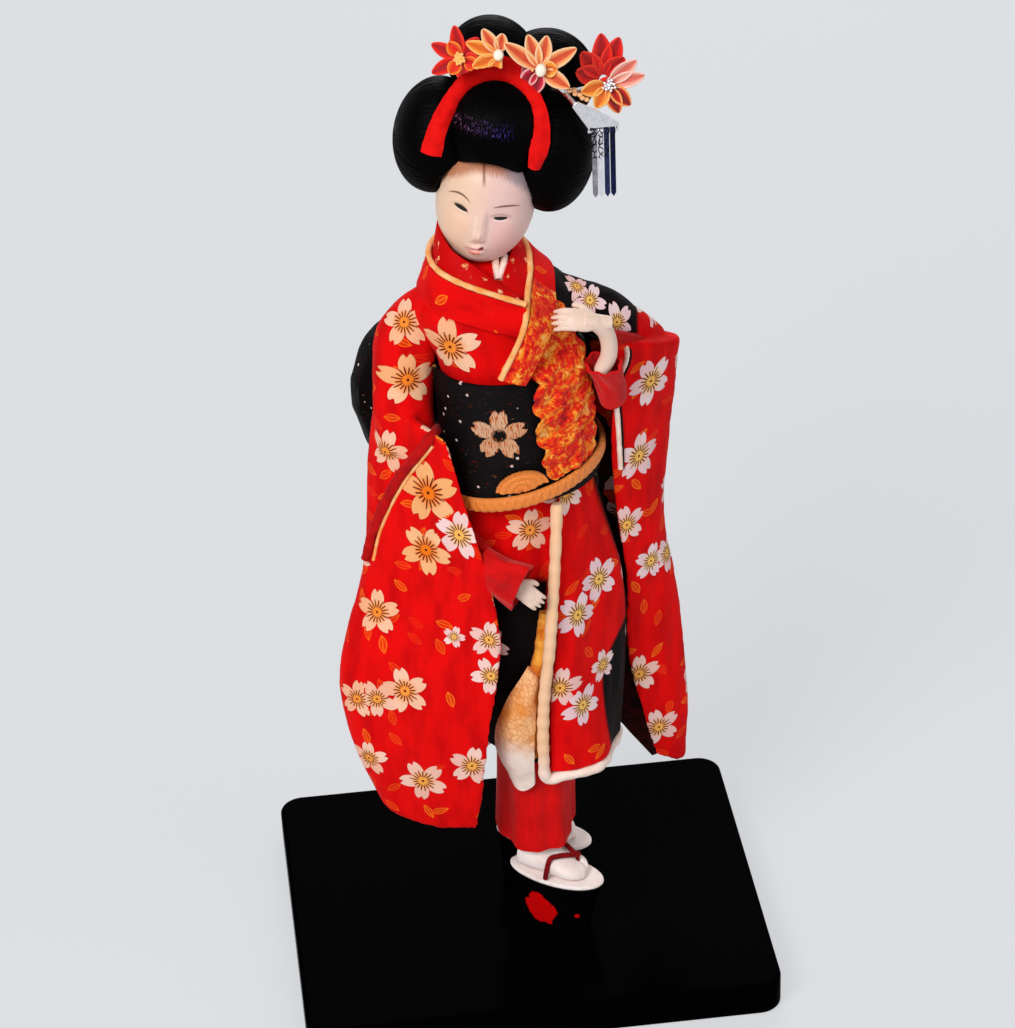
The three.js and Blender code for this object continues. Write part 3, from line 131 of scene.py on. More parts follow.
def noise(place, seed=0):
    """Smooth noise from -1 to 1 over points, one unit to a lump."""
    place = np.asarray(place, float)
    cell = np.floor(place).astype(np.int64)
    f = place - cell
    f = f * f * (3 - 2 * f)

    def corner(dx, dy, dz):
        n = (cell[..., 0] + dx) * 374761393 + (cell[..., 1] + dy) * 668265263
        n = n + (cell[..., 2] + dz) * 2147483647 + seed * 1274126177
        n = (n ^ (n >> 13)) * 1274126177
        return ((n ^ (n >> 16)) & 0xFFFF) / 32767.5 - 1

    def edge(dy, dz):
        return mixed(corner(0, dy, dz), corner(1, dy, dz), f[..., 0])

    low, high = (mixed(edge(0, dz), edge(1, dz), f[..., 1]) for dz in (0, 1))
    return mixed(low, high, f[..., 2])


def wobble(run, seed):
    """Smooth noise along a line."""
    return noise(np.stack([run, 0 * run, 0 * run], 1), seed)


def folds(place, seed, *layers):
    """A sum of noises, each given as (height, size of a lump in mm), over points in mm."""
    place = np.asarray(place)
    return sum(h * noise(place / np.asarray(size, float), seed + k) for k, (h, size) in enumerate(layers))


def spline(points, place):
    """Points on a smooth curve through points: place runs evenly from knot to knot, 0 to 1."""
    p = np.asarray(points, float)
    place = np.clip(np.atleast_1d(place), 0, 1) * (len(p) - 1)
    i = np.minimum(np.floor(place).astype(int), len(p) - 2)
    w = (place - i)[..., None]
    q = np.vstack([2 * p[0] - p[1], p, 2 * p[-1] - p[-2]])
    a, b, c, d = q[i], q[i + 1], q[i + 2], q[i + 3]

    def step(u, v):
        return np.maximum(np.sum((u - v) ** 2, -1) ** 0.25, 1e-4)[..., None]

    ab, bc, cd = step(a, b), step(b, c), step(c, d)
    m1 = ((b - a) / ab - (c - a) / (ab + bc) + (c - b) / bc) * bc
    m2 = ((c - b) / bc - (d - b) / (bc + cd) + (d - c) / cd) * bc
    return b + m1 * w + (3 * (c - b) - 2 * m1 - m2) * w**2 + (2 * (b - c) + m1 + m2) * w**3


def even(points, count):
    """Points spaced evenly along the smooth curve through points."""
    fine = spline(points, np.linspace(0, 1, 60 * len(points)))
    run = np.concatenate([[0], np.cumsum(np.linalg.norm(np.diff(fine, axis=0), axis=1))])
    target = np.linspace(0, run[-1], count)
    return np.stack([np.interp(target, run, fine[:, k]) for k in range(3)], 1)


def unit(v):
    return v / np.maximum(np.linalg.norm(v, axis=-1, keepdims=True), 1e-9)


def normals(points, wrap=False):
    """The normals of a grid of points, rows by columns."""
    if wrap:
        across = np.roll(points, -1, 1) - np.roll(points, 1, 1)
    else:
        across = np.gradient(points, axis=1)
    return unit(np.cross(across, np.gradient(points, axis=0)))


# Meshes

SHARP_EDGE = 55


class Piece:
    """Gathers grids of points, in mm, into one mesh, with UVs in mm and a material for each grid."""

    def __init__(self, name):
        self.name = name
        self.points, self.faces, self.uvs, self.slots, self.looks = [], [], [], [], []

    def look(self, material):
        if material not in self.looks:
            self.looks.append(material)
        return self.looks.index(material)

    def add(self, points):
        """Adds points and gives the number of the first."""
        self.points.append(points.reshape(-1, 3))
        return sum(len(p) for p in self.points[:-1])

    def quads(self, index, uv, material):
        """Faces over a grid of point numbers; uv is a grid like it."""
        rows, cols = index.shape[0] - 1, index.shape[1] - 1
        corners = [(0, 0), (0, 1), (1, 1), (1, 0)]
        quad = np.stack([index[i : rows + i, j : cols + j] for i, j in corners], -1).reshape(-1, 4)
        place = np.stack([uv[i : rows + i, j : cols + j] for i, j in corners], -2)
        self.faces.extend(quad.tolist())
        self.uvs.append(place.reshape(-1, 2))
        self.slots += [self.look(material)] * len(quad)

    def grid(self, points, material, wrap=False, uv=None):
        uv = measure(points, wrap) if uv is None else uv
        self.quads(self.add(points) + numbers(points, wrap), uv, material)
        return self

    def cap(self, ring, material):
        """Closes a ring of points with a fan round its middle."""
        n = len(ring)
        first = self.add(np.vstack([ring, ring.mean(0)]))
        self.faces.extend([(first + i, first + (i + 1) % n, first + n) for i in range(n)])
        self.uvs.append(np.zeros((n * 3, 2)))
        self.slots += [self.look(material)] * n
        return self

    def shell(self, points, thick, material, lining=None, wrap=False, uv=None):
        """A sheet with two faces and closed edges. The lining, if any, is on the back face."""
        uv = measure(points, wrap) if uv is None else uv
        half = np.broadcast_to(np.asarray(thick, float), points.shape[:2])[..., None] / 2
        out = normals(points, wrap) * half
        front = self.add(np.stack([points + out, points - out])) + numbers(points, wrap)
        back = front + points[..., 0].size
        self.quads(front, uv, material)
        self.quads(back[:, ::-1], uv[:, ::-1], lining or material)
        rims = [0, -1] if wrap else [0, -1, (slice(None), 0), (slice(None), -1)]
        for rim in rims:
            self.quads(np.stack([front[rim], back[rim]]), np.stack([uv[rim], uv[rim]]), material)
        return self

    def tube(self, points, radius, material, sides=12, flat=1.0, up=None):
        """A tube along points, with round ends; flat squeezes it towards its own up direction."""
        rings = tube_rings(points, radius, sides, flat, up)
        self.grid(rings, material, wrap=True)
        return self.cap(rings[0], material).cap(rings[-1], material)

    def build(self, body="figure", replaces=None, slot=None):
        mesh = bpy.data.meshes.new(self.name)
        mesh.from_pydata((np.vstack(self.points) * MM).tolist(), [], self.faces)
        write_layer(mesh, "cloth", np.vstack(self.uvs))
        mesh.polygons.foreach_set("material_index", np.array(self.slots, np.int32))
        for look in self.looks:
            mesh.materials.append(look)
        shape = bmesh.new()
        shape.from_mesh(mesh)
        bmesh.ops.remove_doubles(shape, verts=shape.verts, dist=2e-6)
        bmesh.ops.recalc_face_normals(shape, faces=shape.faces)
        shape.to_mesh(mesh)
        shape.free()
        mesh.shade_smooth()
        mesh.set_sharp_from_angle(angle=math.radians(SHARP_EDGE))
        made = shown(self.name, mesh)
        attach(made, body)
        if replaces:
            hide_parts(replaces)
        return made


def numbers(points, wrap=False):
    """The numbers of a grid's points. A grid that wraps ends with its first column again."""
    index = np.arange(points[..., 0].size).reshape(points.shape[:2])
    return np.hstack([index, index[:, :1]]) if wrap else index


def read(items, name, width=3, kind=float):
    """One property of every vertex, face or corner of a mesh, in rows."""
    values = np.empty(len(items) * width, kind)
    items.foreach_get(name, values)
    return values.reshape(-1, width)


def write_layer(mesh, name, values):
    """Writes a layer that holds two numbers for each corner of each face."""
    layer = mesh.uv_layers.get(name) or mesh.uv_layers.new(name=name)
    layer.data.foreach_set("uv", np.asarray(values, np.float32).ravel())


def copy_layer(mesh, name):
    """Copies the cloth layer under another name."""
    write_layer(mesh, name, read(mesh.uv_layers["cloth"].data, "uv", 2, np.float32))


def measure(points, wrap=False):
    """UVs in mm for a grid: the mean distance across and down."""
    if wrap:
        points = np.concatenate([points, points[:, :1]], 1)
    u = np.linalg.norm(np.diff(points, axis=1), axis=-1).mean(0)
    v = np.linalg.norm(np.diff(points, axis=0), axis=-1).mean(1)
    u, v = np.concatenate([[0], np.cumsum(u)]), np.concatenate([[0], np.cumsum(v)])
    return np.stack(np.meshgrid(u, v), -1)


def sheet(made, points, held, *rests_on, wrap=False, least=0.01):
    """Gives the piece back as it is. The grid of points is not used."""
    return made


def tube_rings(points, radius, sides=12, flat=1.0, up=None):
    p = np.asarray(points, float)
    ahead = unit(np.gradient(p, axis=0))
    side = np.zeros_like(p)
    if up is None:
        up = np.array([0.0, 0.0, 1.0]) if abs(ahead[0][2]) < 0.9 else np.array([0.0, 1.0, 0.0])
    side[0] = unit(np.cross(ahead[0], up))
    for i in range(1, len(p)):
        side[i] = unit(side[i - 1] - ahead[i] * (side[i - 1] @ ahead[i]))
    lift = np.cross(side, ahead)
    a = circle(sides)
    r = np.broadcast_to(np.asarray(radius, float), (len(p),))[:, None, None]
    across, up = side[:, None] * np.cos(a)[None, :, None], lift[:, None] * np.sin(a)[None, :, None]
    return p[:, None] + r * (across + up * flat)


def sphere(centre, radii, across=64, down=40):
    a = circle(across)
    b = np.linspace(0.02, np.pi - 0.02, down)
    ring = stacked(np.cos(a) * np.sin(b)[:, None], np.sin(a) * np.sin(b)[:, None], np.cos(b)[:, None])
    return ring * np.asarray(radii, float) + np.asarray(centre, float)


def blob(piece, points, material):
    """A closed grid of rings with both ends capped."""
    return piece.grid(points, material, wrap=True).cap(points[0], material).cap(points[-1], material)


def mesh_of(made):
    """A mesh's points in mm and their normals."""
    return read(made.data.vertices, "co") / MM, read(made.data.vertices, "normal")


def moved(made, change):
    """Moves each point of a mesh, in mm, by what change(points, normals) gives."""
    points, turn = mesh_of(made)
    made.data.vertices.foreach_set("co", ((points + change(points, turn)) * MM).ravel())
    made.data.update()
    return made


def fused(made, voxel, rounds):
    """The solids of a mesh grown into one skin and smoothed."""
    remesh = made.modifiers.new("skin", "REMESH")
    remesh.mode, remesh.voxel_size = "VOXEL", voxel * MM
    smooth = made.modifiers.new("smooth", "SMOOTH")
    smooth.iterations, smooth.factor = rounds, 0.5
    grown = made.evaluated_get(bpy.context.evaluated_depsgraph_get())
    mesh = bpy.data.meshes.new_from_object(grown)
    looks = list(made.data.materials)
    made.modifiers.clear()
    made.data = mesh
    mesh.materials.clear()
    for look in looks:
        mesh.materials.append(look)
    mesh.polygons.foreach_set("material_index", np.zeros(len(mesh.polygons), np.int32))
    mesh.shade_smooth()
    return made


def lifted(points):
    """Points of the standing figure, in the frame's own heights."""
    return np.asarray(points, float) + np.array([0, 0, LIFT])


def set_down(points, x, y, degrees):
    """Points made round the origin, turned and set at a place of the standing figure."""
    c, s = math.cos(math.radians(degrees)), math.sin(math.radians(degrees))
    px, py, pz = np.moveaxis(np.asarray(points, float), -1, 0)
    return lifted(stacked(px * c - py * s + x, px * s + py * c + y, pz))


# Materials

def rgb(r, g, b):
    """A colour as it shows on a screen, from 0 to 255, as a shader's colour."""
    line = [(c / 255 + 0.055) ** 2.4 / 1.055**2.4 if c > 10 else c / 255 / 12.92 for c in (r, g, b)]
    return (*line, 1.0)


class Value:
    """A shader's output that takes part in sums like a number, each sum adding a node."""

    def __init__(self, nodes, socket):
        self.nodes, self.socket = nodes, socket

    def __add__(self, other):
        return self.nodes.math("ADD", self, other)

    def __sub__(self, other):
        return self.nodes.math("SUBTRACT", self, other)

    def __rsub__(self, other):
        return self.nodes.math("SUBTRACT", other, self)

    def __mul__(self, other):
        return self.nodes.math("MULTIPLY", self, other)

    def __truediv__(self, other):
        return self.nodes.math("DIVIDE", self, other)

    def __pow__(self, other):
        return self.nodes.math("POWER", self, other)

    def __abs__(self):
        return self.nodes.math("ABSOLUTE", self)


class Nodes:
    """Adds nodes to a tree, each call giving the value that it made."""

    def __init__(self, tree):
        self.tree = tree

    def put(self, socket, value):
        if isinstance(value, Value):
            self.tree.links.new(value.socket, socket)
        elif value is not None:
            socket.default_value = value

    def node(self, kind, *values, out=0, named=None, **settings):
        made = self.tree.nodes.new("ShaderNode" + kind)
        for name, value in settings.items():
            setattr(made, name, value)
        for socket, value in zip(made.inputs, values):
            self.put(socket, value)
        for name, value in (named or {}).items():
            self.put(made.inputs[name], value)
        if out is None:
            return [Value(self, socket) for socket in made.outputs]
        return Value(self, made.outputs[out])

    def math(self, operation, *values):
        return self.node("Math", *values, operation=operation)

    def vector(self, operation, *values):
        out = 1 if operation in ("DOT_PRODUCT", "LENGTH", "DISTANCE") else 0
        return self.node("VectorMath", *values, out=out, operation=operation)

    def scaled(self, vector, factor):
        return self.node("VectorMath", vector, None, None, factor, operation="SCALE")

    def mix(self, share, a, b):
        return self.node("Mix", share, *[None] * 5, a, b, out=2, data_type="RGBA")

    def ease(self, value, low, high, to_low=0.0, to_high=1.0):
        return self.node("MapRange", value, low, high, to_low, to_high, interpolation_type="SMOOTHSTEP")

    def ramp(self, value, *stops):
        made = self.tree.nodes.new("ShaderNodeValToRGB")
        self.put(made.inputs[0], value)
        elements = made.color_ramp.elements
        while len(elements) < len(stops):
            elements.new(1)
        for element, (place, colour) in zip(elements, stops):
            element.position, element.color = place, colour
        return Value(self, made.outputs[0])

    def noise(self, place, scale, detail=2.0, rough=0.5, bend=0.0):
        named = {"Vector": place, "Scale": scale, "Detail": detail, "Roughness": rough, "Distortion": bend}
        return self.node("TexNoise", named=named)

    def cells(self, place, scale, feature="F1", out=0):
        return self.node("TexVoronoi", named={"Vector": place, "Scale": scale}, out=out, feature=feature)

    def wave(self, place, scale, bend=0.0, direction="X"):
        named = {"Vector": place, "Scale": scale, "Distortion": bend, "Detail": 2.0}
        return self.node("TexWave", named=named, out=1, bands_direction=direction)

    def parts(self, vector):
        return self.node("SeparateXYZ", vector, out=None)

    def uv(self, name="cloth"):
        return self.node("UVMap", uv_map=name)

    def place(self):
        """The point in the piece's own space, in mm."""
        return self.scaled(self.node("TexCoord", out=3), 1000.0)

    def bump(self, height, distance, strength=1.0, normal=None):
        named = {"Height": height, "Distance": distance * MM, "Strength": strength, "Normal": normal}
        return self.node("Bump", named=named)


class Material(Nodes):
    def __init__(self, name):
        self.material = bpy.data.materials.new(name)
        self.material.use_nodes = True
        super().__init__(self.material.node_tree)
        self.shader = self.tree.nodes["Principled BSDF"]

    def set(self, **values):
        for name, value in values.items():
            self.put(self.shader.inputs[name.replace("_", " ")], value)
        return self.material


def group(name, inputs, outputs, build):
    """A node group: build(nodes, inputs) makes its nodes and gives a value for each output."""
    tree = bpy.data.node_groups.new(name, "ShaderNodeTree")
    for label, kind in inputs:
        tree.interface.new_socket(label, in_out="INPUT", socket_type="NodeSocket" + kind)
    for label, kind in outputs:
        tree.interface.new_socket(label, in_out="OUTPUT", socket_type="NodeSocket" + kind)
    nodes = Nodes(tree)
    given = [Value(nodes, socket) for socket in tree.nodes.new("NodeGroupInput").outputs]
    ends = tree.nodes.new("NodeGroupOutput").inputs
    for socket, value in zip(ends, build(nodes, given)):
        nodes.put(socket, value)
    return tree


def use(nodes, tree, *values):
    """The outputs of a node group that is given these values."""
    return nodes.node("Group", *values, out=None, node_tree=tree)


def blossom_nodes(n, given):
    """A cherry blossom of unit reach: how far inside a petal, the reach, the stamens, a petal's number."""
    x, y, _ = n.parts(given[0])
    seed = given[1]
    reach = n.vector("LENGTH", given[0])
    angle = n.math("ARCTAN2", y, x)
    turn = angle / (2 * math.pi / 5) + 0.5
    own = n.math("FLOOR", turn)
    local = (turn - own - 0.5) * (2 * math.pi / 5)
    out = reach * n.math("COSINE", local)
    side = abs(reach * n.math("SINE", local))
    oval = ((out - 0.57) / 0.42) ** 2 + (side / 0.3) ** 2
    notch = side * 1.3 + 0.82 - out
    inside = n.math("MINIMUM", 1 - oval, notch * 4)
    number = n.math("FRACT", n.math("SINE", own * 12.99 + seed) * 437.5)
    ray = angle * (17 / (2 * math.pi))
    ray_own = n.math("ROUND", ray)
    across = abs(ray - ray_own) * (reach * (2 * math.pi / 17))
    length = n.math("FRACT", n.math("SINE", ray_own * 7.3 + seed) * 91.7)
    tip = length * 0.16 + 0.4
    line = 1 - n.ease(across, 0.012, 0.034)
    span = n.ease(reach, 0.17, 0.22) * (1 - n.ease(reach - tip, -0.02, 0.02))
    stamens = line * span
    return inside, reach, stamens, number


def make_blossom():
    outputs = [(name, "Float") for name in ("Inside", "Reach", "Stamens", "Number")]
    return group("blossom", [("Place", "Vector"), ("Seed", "Float")], outputs, blossom_nodes)


def crepe(n, place, size=0.42, height=0.05):
    """The fine pebbled weave of silk crepe."""
    return n.bump(n.noise(place, 1 / size, 3.0, 0.6), height, 0.8)


BROWN = rgb(96, 22, 8)
# The near-black colour of painted shade on red cloth.
PAINTED_SHADE = rgb(10, 4, 5)


def leaves(n, place, size):
    """Sketched leaves: a spindle with a middle line in some of the cells of a scattering."""
    named = {"Vector": place, "Scale": 1 / size, "Randomness": 0.8}
    _, chance, spot, *_ = n.node("TexVoronoi", named=named, out=None, voronoi_dimensions="2D")
    red, green, blue = n.node("SeparateColor", chance, out=None)
    x, y, _ = n.parts(n.scaled(n.vector("SUBTRACT", place, spot), 1 / size))
    angle = red * (2 * math.pi)
    c, s = n.math("COSINE", angle), n.math("SINE", angle)
    a = x * c + y * s
    b = abs(y * c - x * s)
    taper = 1 - (a / 0.34) ** 2
    wide = taper * 0.15
    inside = n.ease(wide - b, 0.0, 0.02)
    core = n.ease(wide - b, 0.03, 0.05)
    vein = 1 - n.ease(b, 0.008, 0.02)
    line = n.math("MAXIMUM", 1 - core * 0.8, vein)
    return inside * line * n.ease(green, 0.32, 0.38), blue


def make_printed(name, blossom, leaf_size=10.5):
    """Red silk crepe printed with cherry blossoms, whose own places are in the mesh's layers."""
    n = Material(name)
    place, tone_uv = n.uv("blossom"), n.uv("tone")
    tone, seed, _ = n.parts(tone_uv)
    inside, reach, stamens, number = use(n, blossom, place, seed * 31)
    cloth = n.uv("cloth")
    # Painted shade in folds: long streaks of darker red down the cloth.
    fold_shade = n.noise(n.vector("MULTIPLY", cloth, (0.16, 0.05, 1.0)), 1.0, 2.0, 0.5)
    ground = n.mix(n.ease(fold_shade, 0.35, 0.75), rgb(228, 6, 6), rgb(196, 2, 5))
    leaf, pick = leaves(n, cloth, leaf_size)
    leaf_colour = n.mix(pick, rgb(232, 40, 12), rgb(244, 120, 24))
    ground = n.mix(leaf, ground, leaf_colour)
    # Painted shade: where the dark layer is set, the ground turns near black to stand for deep shade on the
    # cloth.
    dark = n.node("Attribute", out=2, attribute_name="dark")
    ground = n.mix(dark, ground, PAINTED_SHADE)
    pink = n.mix(number, rgb(240, 214, 216), rgb(232, 190, 196))
    peach = n.mix(number, rgb(243, 186, 140), rgb(238, 160, 92))
    tip = n.mix(tone, pink, peach)
    base = n.mix(tone, rgb(240, 190, 96), rgb(238, 118, 22))
    petal = n.mix(n.ease(reach + number * 0.08, 0.28, 0.62), base, tip)
    petal = n.mix(n.noise(cloth, 0.9, 2.0) * 0.35, petal, tip)
    petal = n.mix(stamens * 0.9, petal, BROWN)
    rim = n.ease(inside, -0.16, -0.02)
    colour = n.mix(rim * 0.45, ground, rgb(120, 8, 8))
    colour = n.mix(n.ease(inside, -0.02, 0.05), colour, petal)
    star = stamens * n.ease(reach, 0.5, 0.4)
    colour = n.mix(star, colour, BROWN)
    heart = 1 - n.ease(reach, 0.16, 0.24)
    colour = n.mix(heart, colour, base)
    colour = n.mix(1 - n.ease(reach, 0.035, 0.07), colour, BROWN)
    return n.set(Base_Color=colour, Roughness=0.72, Sheen_Weight=0.02, Sheen_Roughness=0.5,
                 Specular_IOR_Level=0.05, Normal=crepe(n, cloth))


def make_cloth(name, colour, other, size=9.0, rough=0.75, weave=0.42, height=0.05, sheen=0.03, streak=None):
    """Plain woven cloth, clouded or streaked in two colours."""
    n = Material(name)
    cloth = n.uv("cloth")
    shade = n.noise(cloth, 1 / size, 3.0)
    if streak:
        stretched = n.vector("MULTIPLY", cloth, streak)
        shade = shade * 0.5 + n.noise(stretched, 1.0, 3.0) * 0.5
    base = n.mix(n.ease(shade, 0.3, 0.7), colour, other)
    return n.set(Base_Color=base, Roughness=rough, Sheen_Weight=sheen, Sheen_Roughness=0.5,
                 Specular_IOR_Level=0.1, Normal=crepe(n, cloth, weave, height))


def make_lacquer():
    n = Material("black_lacquer")
    place = n.place()
    waves = n.bump(n.noise(place, 0.05, 2.0), 0.05, 0.2)
    shade = n.mix(n.noise(place, 0.02), rgb(1, 1, 1), rgb(3, 3, 3))
    rough = n.ease(n.noise(place, 0.6, 4.0), 0.3, 0.8, 0.14, 0.26)
    return n.set(Base_Color=shade, Roughness=rough, Specular_IOR_Level=0.001, Normal=waves)


def make_wood():
    n = Material("wood")
    grain = n.wave(n.vector("MULTIPLY", n.place(), (1.0, 1.0, 0.12)), 0.35, 3.0)
    return n.set(Base_Color=n.mix(grain, rgb(196, 150, 100), rgb(160, 112, 66)), Roughness=0.65)


def make_steel():
    n = Material("steel")
    streak = n.noise(n.vector("MULTIPLY", n.place(), (8.0, 8.0, 0.5)), 1.0)
    shade = n.mix(streak, rgb(190, 192, 196), rgb(150, 152, 158))
    return n.set(Base_Color=shade, Metallic=1.0, Roughness=0.3)


def make_silver(name, light, dark, chased=0.0):
    """Thin silver. Chased is how many mm below the bar its cut pattern reaches; at 0 all of it is faint."""
    n = Material(name)
    place = n.place()
    _, _, z = n.parts(place)
    line = n.cells(n.vector("MULTIPLY", place, (1.0, 1.0, 0.6)), 0.75, feature="DISTANCE_TO_EDGE")
    cut = 1 - n.ease(line, 0.06, 0.16)
    end = BAR_HEIGHT - chased
    cut = cut * (n.ease(z, end - 0.6, end + 0.6) if chased else 0.12)
    shade = n.mix(cut, n.mix(n.noise(place, 0.5), light, dark), rgb(28, 28, 36))
    rough = n.ease(n.noise(place, 0.7), 0.3, 0.7, 0.18, 0.32)
    return n.set(Base_Color=shade, Metallic=1.0, Roughness=rough, Normal=n.bump(cut, 0.08, 0.5))


# The face is painted on plaster: strokes are places on the face in mm, across and up

def stroke_nodes(n, given):
    """A tapered brush stroke that bows: how much of it lies at a place."""
    place, centre, ahead, half, bow, wide, soft = given[:7]
    from_centre = n.vector("SUBTRACT", place, centre)
    x, y, _ = n.parts(ahead)
    across = n.node("CombineXYZ", y * -1.0, x)
    t = n.vector("DOT_PRODUCT", from_centre, ahead) / half
    taper = 1 - t * t
    rise = n.vector("DOT_PRODUCT", from_centre, across) - bow * taper
    reach = wide * n.math("MAXIMUM", taper, 0.0) ** 0.6
    gap = abs(rise) - reach
    return [n.ease(gap, soft * -1.0, soft, 1.0, 0.0) * n.ease(taper, 0.0, 0.12)]


def make_stroke():
    kinds = [(name, "Vector") for name in ("Place", "Centre", "Ahead")]
    kinds += [(name, "Float") for name in ("Half", "Bow", "Wide", "Soft")]
    return group("stroke", kinds, [("Share", "Float")], stroke_nodes)


# Each stroke: from and to on the face, bow, half width, softness, colour and strength
FACE_STROKES = [
    ((-13.5, -4.0), (-4.0, -6.0), 0.5, 4.5, 4.5, (236, 168, 130), 0.2),
    ((4.0, -6.5), (12.5, -5.0), 0.5, 4.5, 4.5, (236, 160, 156), 0.3),
    # Painted shade down the nose's left side.
    ((1.6, 3.0), (2.6, -7.5), 0.0, 0.7, 0.9, (160, 132, 132), 0.4),
    # Painted highlight down the nose's right side.
    ((-1.9, 1.0), (-1.6, -7.0), 0.0, 0.6, 0.7, (240, 212, 190), 0.6),
    # Painted shade under the nose.
    ((-3.2, -9.6), (2.6, -8.6), -0.4, 0.35, 0.45, (160, 116, 106), 0.55),
    ((-11.0, 2.9), (-4.6, 0.9), 0.75, 0.9, 0.7, (176, 132, 104), 0.4),
    ((2.6, 1.0), (10.4, 1.2), 0.8, 0.9, 0.7, (170, 128, 122), 0.35),
    ((-9.4, 1.9), (-5.2, 0.8), -0.35, 0.2, 0.15, (246, 232, 222), 0.8),
    ((3.6, 0.0), (9.0, 0.3), -0.4, 0.2, 0.15, (246, 232, 230), 0.8),
    ((-10.1, 2.8), (-5.1, 1.4), 0.16, 0.8, 0.13, (10, 4, 4), 1.0),
    ((4.0, 0.85), (8.8, 1.05), -0.3, 0.75, 0.13, (12, 4, 4), 1.0),
    ((-10.6, 3.1), (-4.6, 1.5), 0.9, 0.13, 0.14, (120, 66, 44), 0.7),
    ((2.6, 1.3), (9.8, 1.5), 0.75, 0.13, 0.14, (130, 80, 76), 0.65),
    ((-12.8, 5.8), (-4.6, 5.0), 1.8, 0.36, 0.3, (96, 48, 22), 0.95),
    ((3.4, 4.6), (12.4, 5.3), 0.6, 0.36, 0.3, (112, 50, 36), 0.95),
    ((-4.8, -12.7), (1.9, -11.1), -0.35, 0.65, 0.3, (226, 164, 156), 0.85),
    ((-3.2, -13.8), (1.4, -12.8), -0.8, 1.0, 0.35, (236, 148, 128), 0.9),
    ((-4.6, -12.9), (1.9, -11.6), -0.55, 0.14, 0.14, (150, 60, 60), 0.8),
    ((0.4, -12.3), (2.3, -10.9), 0.0, 0.6, 0.3, (120, 12, 30), 1.0),
    # Painted shade under the lower lip.
    ((-1.6, -15.4), (1.8, -15.0), -0.2, 0.35, 0.4, (170, 124, 118), 0.5),
]


def make_face(stroke):
    n = Material("painted_plaster")
    face = n.uv("face")
    x, z, _ = n.parts(face)
    # Painted light: the skin is warmer on the face's right side and pinker on its left, as the light falls
    # on it.
    skin = n.mix(n.ease(x, -9.0, 7.0), rgb(228, 191, 163), rgb(226, 187, 181))
    skin = n.mix(n.noise(face, 0.35, 3.0) * 0.3, skin, rgb(236, 202, 180))
    for start, end, bow, wide, soft, colour, strength in FACE_STROKES:
        across, up = end[0] - start[0], end[1] - start[1]
        length = math.hypot(across, up)
        middle = ((start[0] + end[0]) / 2, (start[1] + end[1]) / 2, 0)
        ahead = (across / length, up / length, 0)
        share, = use(n, stroke, face, middle, ahead, length / 2, bow, wide, soft)
        skin = n.mix(share * strength, skin, rgb(*colour))
    hairline = z + x * x * 0.032
    strands = n.noise(n.vector("MULTIPLY", face, (3.2, 0.35, 1.0)), 1.0, 3.0)
    edge = n.ease(strands * 3.4 + (hairline + -1.7), 14.4, 17.6)
    brown = n.mix(strands, rgb(206, 112, 40), rgb(120, 48, 20))
    brown = n.mix(n.ease(x, 3.0, 9.0), brown, rgb(120, 112, 124))
    skin = n.mix(edge * 0.75, skin, brown)
    peak = 1 - n.ease(abs(x + (z * 0.2 + -1.6)), 0.1, 0.9)
    peak = peak * n.ease(z, 10.5, 14.5)
    skin = n.mix(peak * 0.8, skin, rgb(120, 48, 20))
    grain = n.bump(n.noise(n.place(), 2.2, 3.0), 0.03, 0.4)
    return n.set(Base_Color=skin, Roughness=0.42, Subsurface_Weight=0.08, Subsurface_Scale=0.5,
                 Subsurface_Radius=(0.004, 0.0015, 0.001), Specular_IOR_Level=0.35, Normal=grain)


def make_skin():
    n = Material("plaster")
    place = n.place()
    base = n.mix(n.noise(place, 0.15, 3.0), rgb(232, 208, 192), rgb(228, 192, 170))
    return n.set(Base_Color=base, Roughness=0.5, Normal=n.bump(n.noise(place, 2.2, 3.0), 0.03, 0.4))


def make_hair(name, painted_glint=None):
    """Black hair combed into strands along v. The last argument is a patch of painted highlight: from v, to
    v, from u, to u.
    """
    n = Material(name)
    cloth = n.uv("cloth")
    u, v, _ = n.parts(cloth)
    strands = n.noise(n.vector("MULTIPLY", cloth, (5.0, 0.12, 1.0)), 1.0, 3.0, 0.6)
    fine = n.noise(n.vector("MULTIPLY", cloth, (16.0, 0.3, 1.0)), 1.0, 2.0, 0.6)
    height = strands * 0.6 + fine * 0.4
    base = n.mix(n.ease(fine, 0.45, 0.8), rgb(2, 2, 3), rgb(6, 5, 7))
    # Painted highlight: violet and blue dashes in a patch, as glints on the strands.
    if painted_glint:
        low, high, left, right = painted_glint
        share = n.ease(v, low, low + 2) * n.ease(v, high, high - 2)
        share = share * (n.ease(u, left, left + 3) * n.ease(u, right, right - 3))
        dashes = n.noise(n.vector("MULTIPLY", cloth, (3.2, 0.55, 1.0)), 1.0, 3.0, 0.7)
        share = share * n.ease(dashes, 0.55, 0.68)
        base = n.mix(share, base, n.mix(n.ease(u, left, right), rgb(150, 96, 116), rgb(84, 66, 168)))
    rough = n.ease(strands, 0.3, 0.7, 0.28, 0.48)
    return n.set(Base_Color=base, Roughness=rough, Specular_IOR_Level=0.02, Normal=n.bump(height, 0.2, 0.6))


